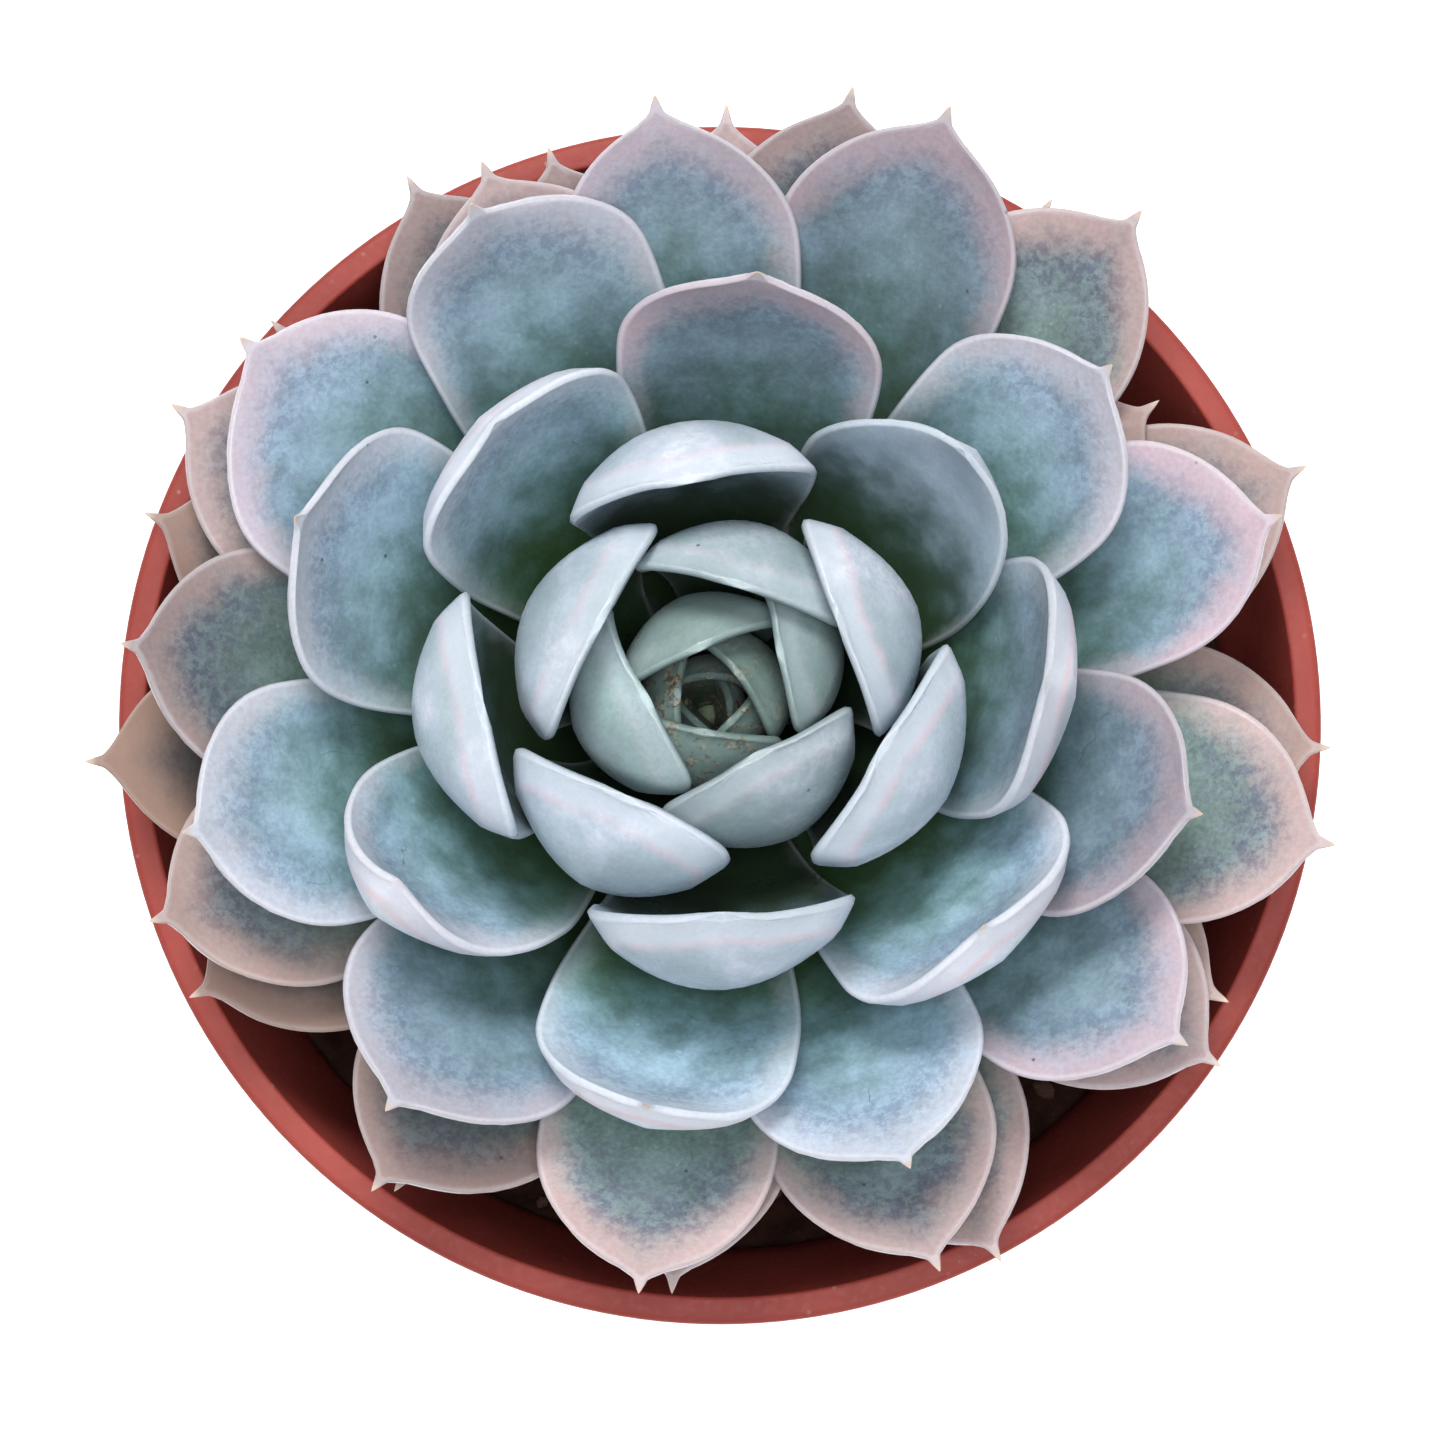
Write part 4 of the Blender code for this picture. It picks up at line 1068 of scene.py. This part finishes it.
def skinLook(kind):
    look = {name: values[leafKinds.index(kind)] for name, values in leafLooks.items()}
    look["darkFrom"], look["darkTo"] = look["darkTo"]
    look["bandStart"], look["bandFull"] = (look["marginMm"] * width for width in skin["bandWidths"])
    look["marginNear"], look["marginAtTip"] = (look["marginMm"] * width for width in skin["marginWidths"])
    look["bandEnd"] = look["bandMm"] * skin["bandFade"]
    look["wavy"] = look["ragged"] * 0.5
    look["lessRagged"], look["lessWavy"] = -look["ragged"], -look["wavy"]
    look["lessCloudy"] = -look["cloudiness"]
    look["flakeAmount"], look["leastRidge"] = look["grit"] * 3, look["ridgeAmount"] * 0.3
    look["smooth"], look["dull"] = look["roughness"]
    return {"patterns": skinPatterns, **look}


def leafPaint(kind):
    paint = Paint("leafSkin_" + kind, skinLook(kind))
    made, value, times, plus, maths = paint.made, paint.value, paint.times, paint.plus, paint.maths
    made["below"] = times(("under", 0.4, 0.6))
    made["above"] = maths("SUBTRACT", 1.0, value("below"))
    made["grownUp"] = maths("SUBTRACT", 1.0, value("youth"))
    made["reach"], made["ragged"], made["wavy"] = (plus(*skin[name]) for name in ("reach", "ragged", "wavy"))
    made["onBack"], made["dry"] = times(*skin["onBack"]), times(*skin["dry"])
    made["marginShare"] = maths("DIVIDE", value("wavy"), times(*skin["marginWidth"]))
    made["pastRidge"] = maths("SUBTRACT", value("marginGap"), value("ridgeAt"))
    made["fromRidge"] = maths("ABSOLUTE", value("pastRidge"))
    made["fromScratch"] = maths("ABSOLUTE", maths("SUBTRACT", value("scratches"), skin["scratchLevel"]))

    back = paint.layered("backPatch", skin["backLayers"])
    heart = paint.layered(skin["heartDark"], skin["heartLayers"])
    colour = paint.layered("shade", (*skin["faceLayers"], (back, "below"), (heart, *skin["heartAmount"]),
                                     skin["bandLayer"]))
    tone = plus(times(*skin["patches"]), times(*skin["powder"]), 1.0, times(*skin["paleFlakes"]))
    # each leaf's brightness carries painted light and shade as well as its own tone
    colour = paint.scaled(colour, times(tone, "lightness"))
    pink = paint.layered(skin["plainMargin"], skin["rosyLayers"])
    for factor in skin["marginTone"]:
        pink = paint.scaled(pink, times(factor))
    pink = paint.layered(pink, skin["heartMargin"])
    scab = paint.layered(skin["scabDark"], skin["scabLayers"])
    colour = paint.layered(colour, (
        (pink, *skin["marginAmounts"]), skin["edgeLayer"], skin["weatheredLayer"], skin["bevelLightLayer"],
        skin["ridgeLayer"], skin["satinAndHighlightLayer"], skin["scratchLayer"], skin["speckLayer"], (scab, "dry"),
        skin["spineLayer"]))
    rough = paint.rise(value("dry"), 0.0, 1.0, times(*skin["roughness"]), skin["scabRoughness"])
    relief = plus(*(times(name, share) for name, share in skin["relief"].items()))
    return paint.finish(colour, rough, skin["fixed"], paint.bump(relief, *skin["bump"]))


# how weathered, pink and scabbed single leaves are, how bright each is (partly its own tone, partly painted
# light and shade for how the leaf is lit), and the usual value of each
leafOwn = {
    "blush": {40: 0.5, 43: 0.45, 47: 0.4, 31: 0.95, 39: 0.7, 36: 0.75, 23: 0.4, 28: 0.35, 41: 0.6,
              35: 0.45, 27: 0.3},
    # brightness of each leaf: partly its own tone, partly painted light and shade
    "lightness": {
        -20: 0.6, -19: 0.6, -18: 0.6, -17: 0.7, -16: 0.8, -15: 0.8, -14: 0.9, -11: 1.4, -10: 1.0,
        -9: 0.85, -7: 0.85, -5: 0.90, -1: 0.95, 0: 1.3, 1: 0.9, 2: 1.30, 3: 0.80, 4: 1.35, 5: 1.05,
        6: 1.05, 7: 1.45, 8: 0.95, 9: 0.70, 10: 1.15, 11: 0.68, 12: 1.2, 13: 1.1, 15: 0.9, 16: 0.85,
        17: 0.95, 18: 0.70, 20: 1.25, 22: 1.2, 24: 0.75, 25: 1.15, 28: 0.8, 29: 0.7, 31: 0.30,
        34: 0.7, 36: 0.45, 39: 0.55, 41: 0.7,
    },
    "rosiness": {
        0: 0.3, 1: 0.3, 2: 0.5, 3: 0.9, 4: 0.4, 5: 0.4, 6: 0.6, 7: 0.3, 8: 0.55, 9: 0.85, 10: 0.45,
        11: 0.95, 12: 0.4, 13: 0.8, 14: 1.0, 15: 0.6, 16: 0.8, 17: 0.9,
    },
    "scab": {-20: 1.0, -18: 0.35, -17: 0.75, -16: 0.85, -15: 0.25, -14: 0.5, -11: 0.08},
}
leafUsual = {"blush": 0.0, "lightness": 1.0, "rosiness": 1.0, "scab": 0.0}
youngRosiness = 0.2
youthCurve = ((-14, 1.0), (-12, 0.8), (-9, 0.5), (-7, 0.0))
leafSeed = 29
firstMiddleLeaf = 0
firstOuterLeaf = 18


def kindOf(order):
    return leafKinds[(order >= firstMiddleLeaf) + (order >= firstOuterLeaf)]


def buildLeaves():
    skins = {kind: leafPaint(kind) for kind in leafKinds}
    draw = random.Random(leafSeed)
    jobs = [(f"leaf_{number:02d}", order) for number, order in enumerate(rosette["leafOrders"], start=1)]
    jobs += [(f"heart_{number}", order) for number, order in enumerate(rosette["heartOrders"], start=1)]
    for name, order in jobs:
        detail = bladeDetail["heartRingShare"] if name.startswith("heart") else 1.0
        points, faces, readings, ridgeAt = bladeMesh(RosetteLeaf(order), detail)
        usual = {**leafUsual, "rosiness": youngRosiness} if order < firstMiddleLeaf else leafUsual
        own = {key: leafOwn[key].get(order, usual[key]) for key in leafOwn}
        own["ownDraw"] = draw.random()
        own["ridgeAt"] = ridgeAt
        own["youth"] = float(np.interp(order, *zip(*youthCurve)))
        readings.update({key: np.full(len(points), value) for key, value in own.items()})
        blade = addPiece(name + "_blade", points, faces, skins[kindOf(order)], readings)
        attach(blade, "root")
        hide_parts(name if name.startswith("leaf") else "stem")
        "leaf_" + kindOf(order)
    print("leaves:", len(jobs), "blades")


# Stem

stemSettings = {
    "rootRadius": 6.0 * mm, "rootDepth": 30 * mm, "rootTaper": 0.6, "rootTop": 4 * mm,
    "oldest": 47,  # the order of the leaf that the root starts under
    "gap": 0.7 * mm,  # to the leaves' feet
    "endRadius": 0.6 * mm,
    "knobs": (0.25 * mm, 0.1 * mm),  # how high they'd be, and how high they may be
    "knobsPerTurn": 2.2, "knobHeight": 1.6 * mm, "leastRadius": 0.3 * mm, "sides": 64, "rings": 90,
}

stemLook = {
    "patterns": {"fibres": (0.7, 6, 0.65, (1, 1, 0.25)), "scars": (0.3, 3, 0.5)},
    "base": (0.16, 0.22, 0.13),
    "layers": {
        "light": ((0.30, 0.36, 0.22), ("fibres", 0.35, 0.7)),
        "scar": ((0.20, 0.13, 0.08), ("scars", 0.5, 0.62, 0.0, 0.7)),
    },
    "roughness": (0.6,),
    "bumps": (("fibres", 0.5, 0.3 * mm),),
    "fixed": {},
}


def buildStem():
    settings = stemSettings
    root, depth, oldest = settings["rootRadius"], settings["rootDepth"], settings["oldest"]
    taper = settings["rootTaper"]
    heights = [(-depth, oldest, root * taper), (-depth * taper, oldest, root),
               (-settings["rootTop"], oldest, root)]
    for order in range(46, -21, -6):
        radius = max(grown("stemRadius", order) * mm - settings["gap"], settings["endRadius"])
        heights.append((grown("heightOnStem", order) * mm, order, radius))
    zs, orders, radii = (np.array(column, float) for column in zip(*heights))
    points = []
    sides, rings = settings["sides"], settings["rings"]
    knobScale, mostKnob = settings["knobs"]
    for z in np.linspace(zs[0], zs[-1], rings):
        lean = leanOf(float(np.interp(z, zs, orders)))
        radius = float(np.interp(z, zs, radii))
        for i in range(sides):
            angle = math.tau * i / sides
            out = Vector((math.cos(angle), math.sin(angle), 0))
            spot = out * settings["knobsPerTurn"] + Vector((0, 0, z / settings["knobHeight"]))
            knob = min(knobScale * noise.noise(spot), mostKnob)
            r = max(radius + knob, settings["leastRadius"])
            points.append(rosette["crown"] + lean @ (out * r + Vector((0, 0, z))))
    faces = wallFaces(rings, sides)
    faces.append(list(range(sides))[::-1])
    faces.append([(rings - 1) * sides + i for i in range(sides)])
    stem = addPiece("stem_fine", points, faces, plainPaint("greenStem", stemLook))
    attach(stem, "root")
    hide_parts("stem")
    print("stem: one piece, root to growing point")


addCamera()
addLights()
addFloor()
buildPot()
buildSoil()
buildStem()
buildLeaves()
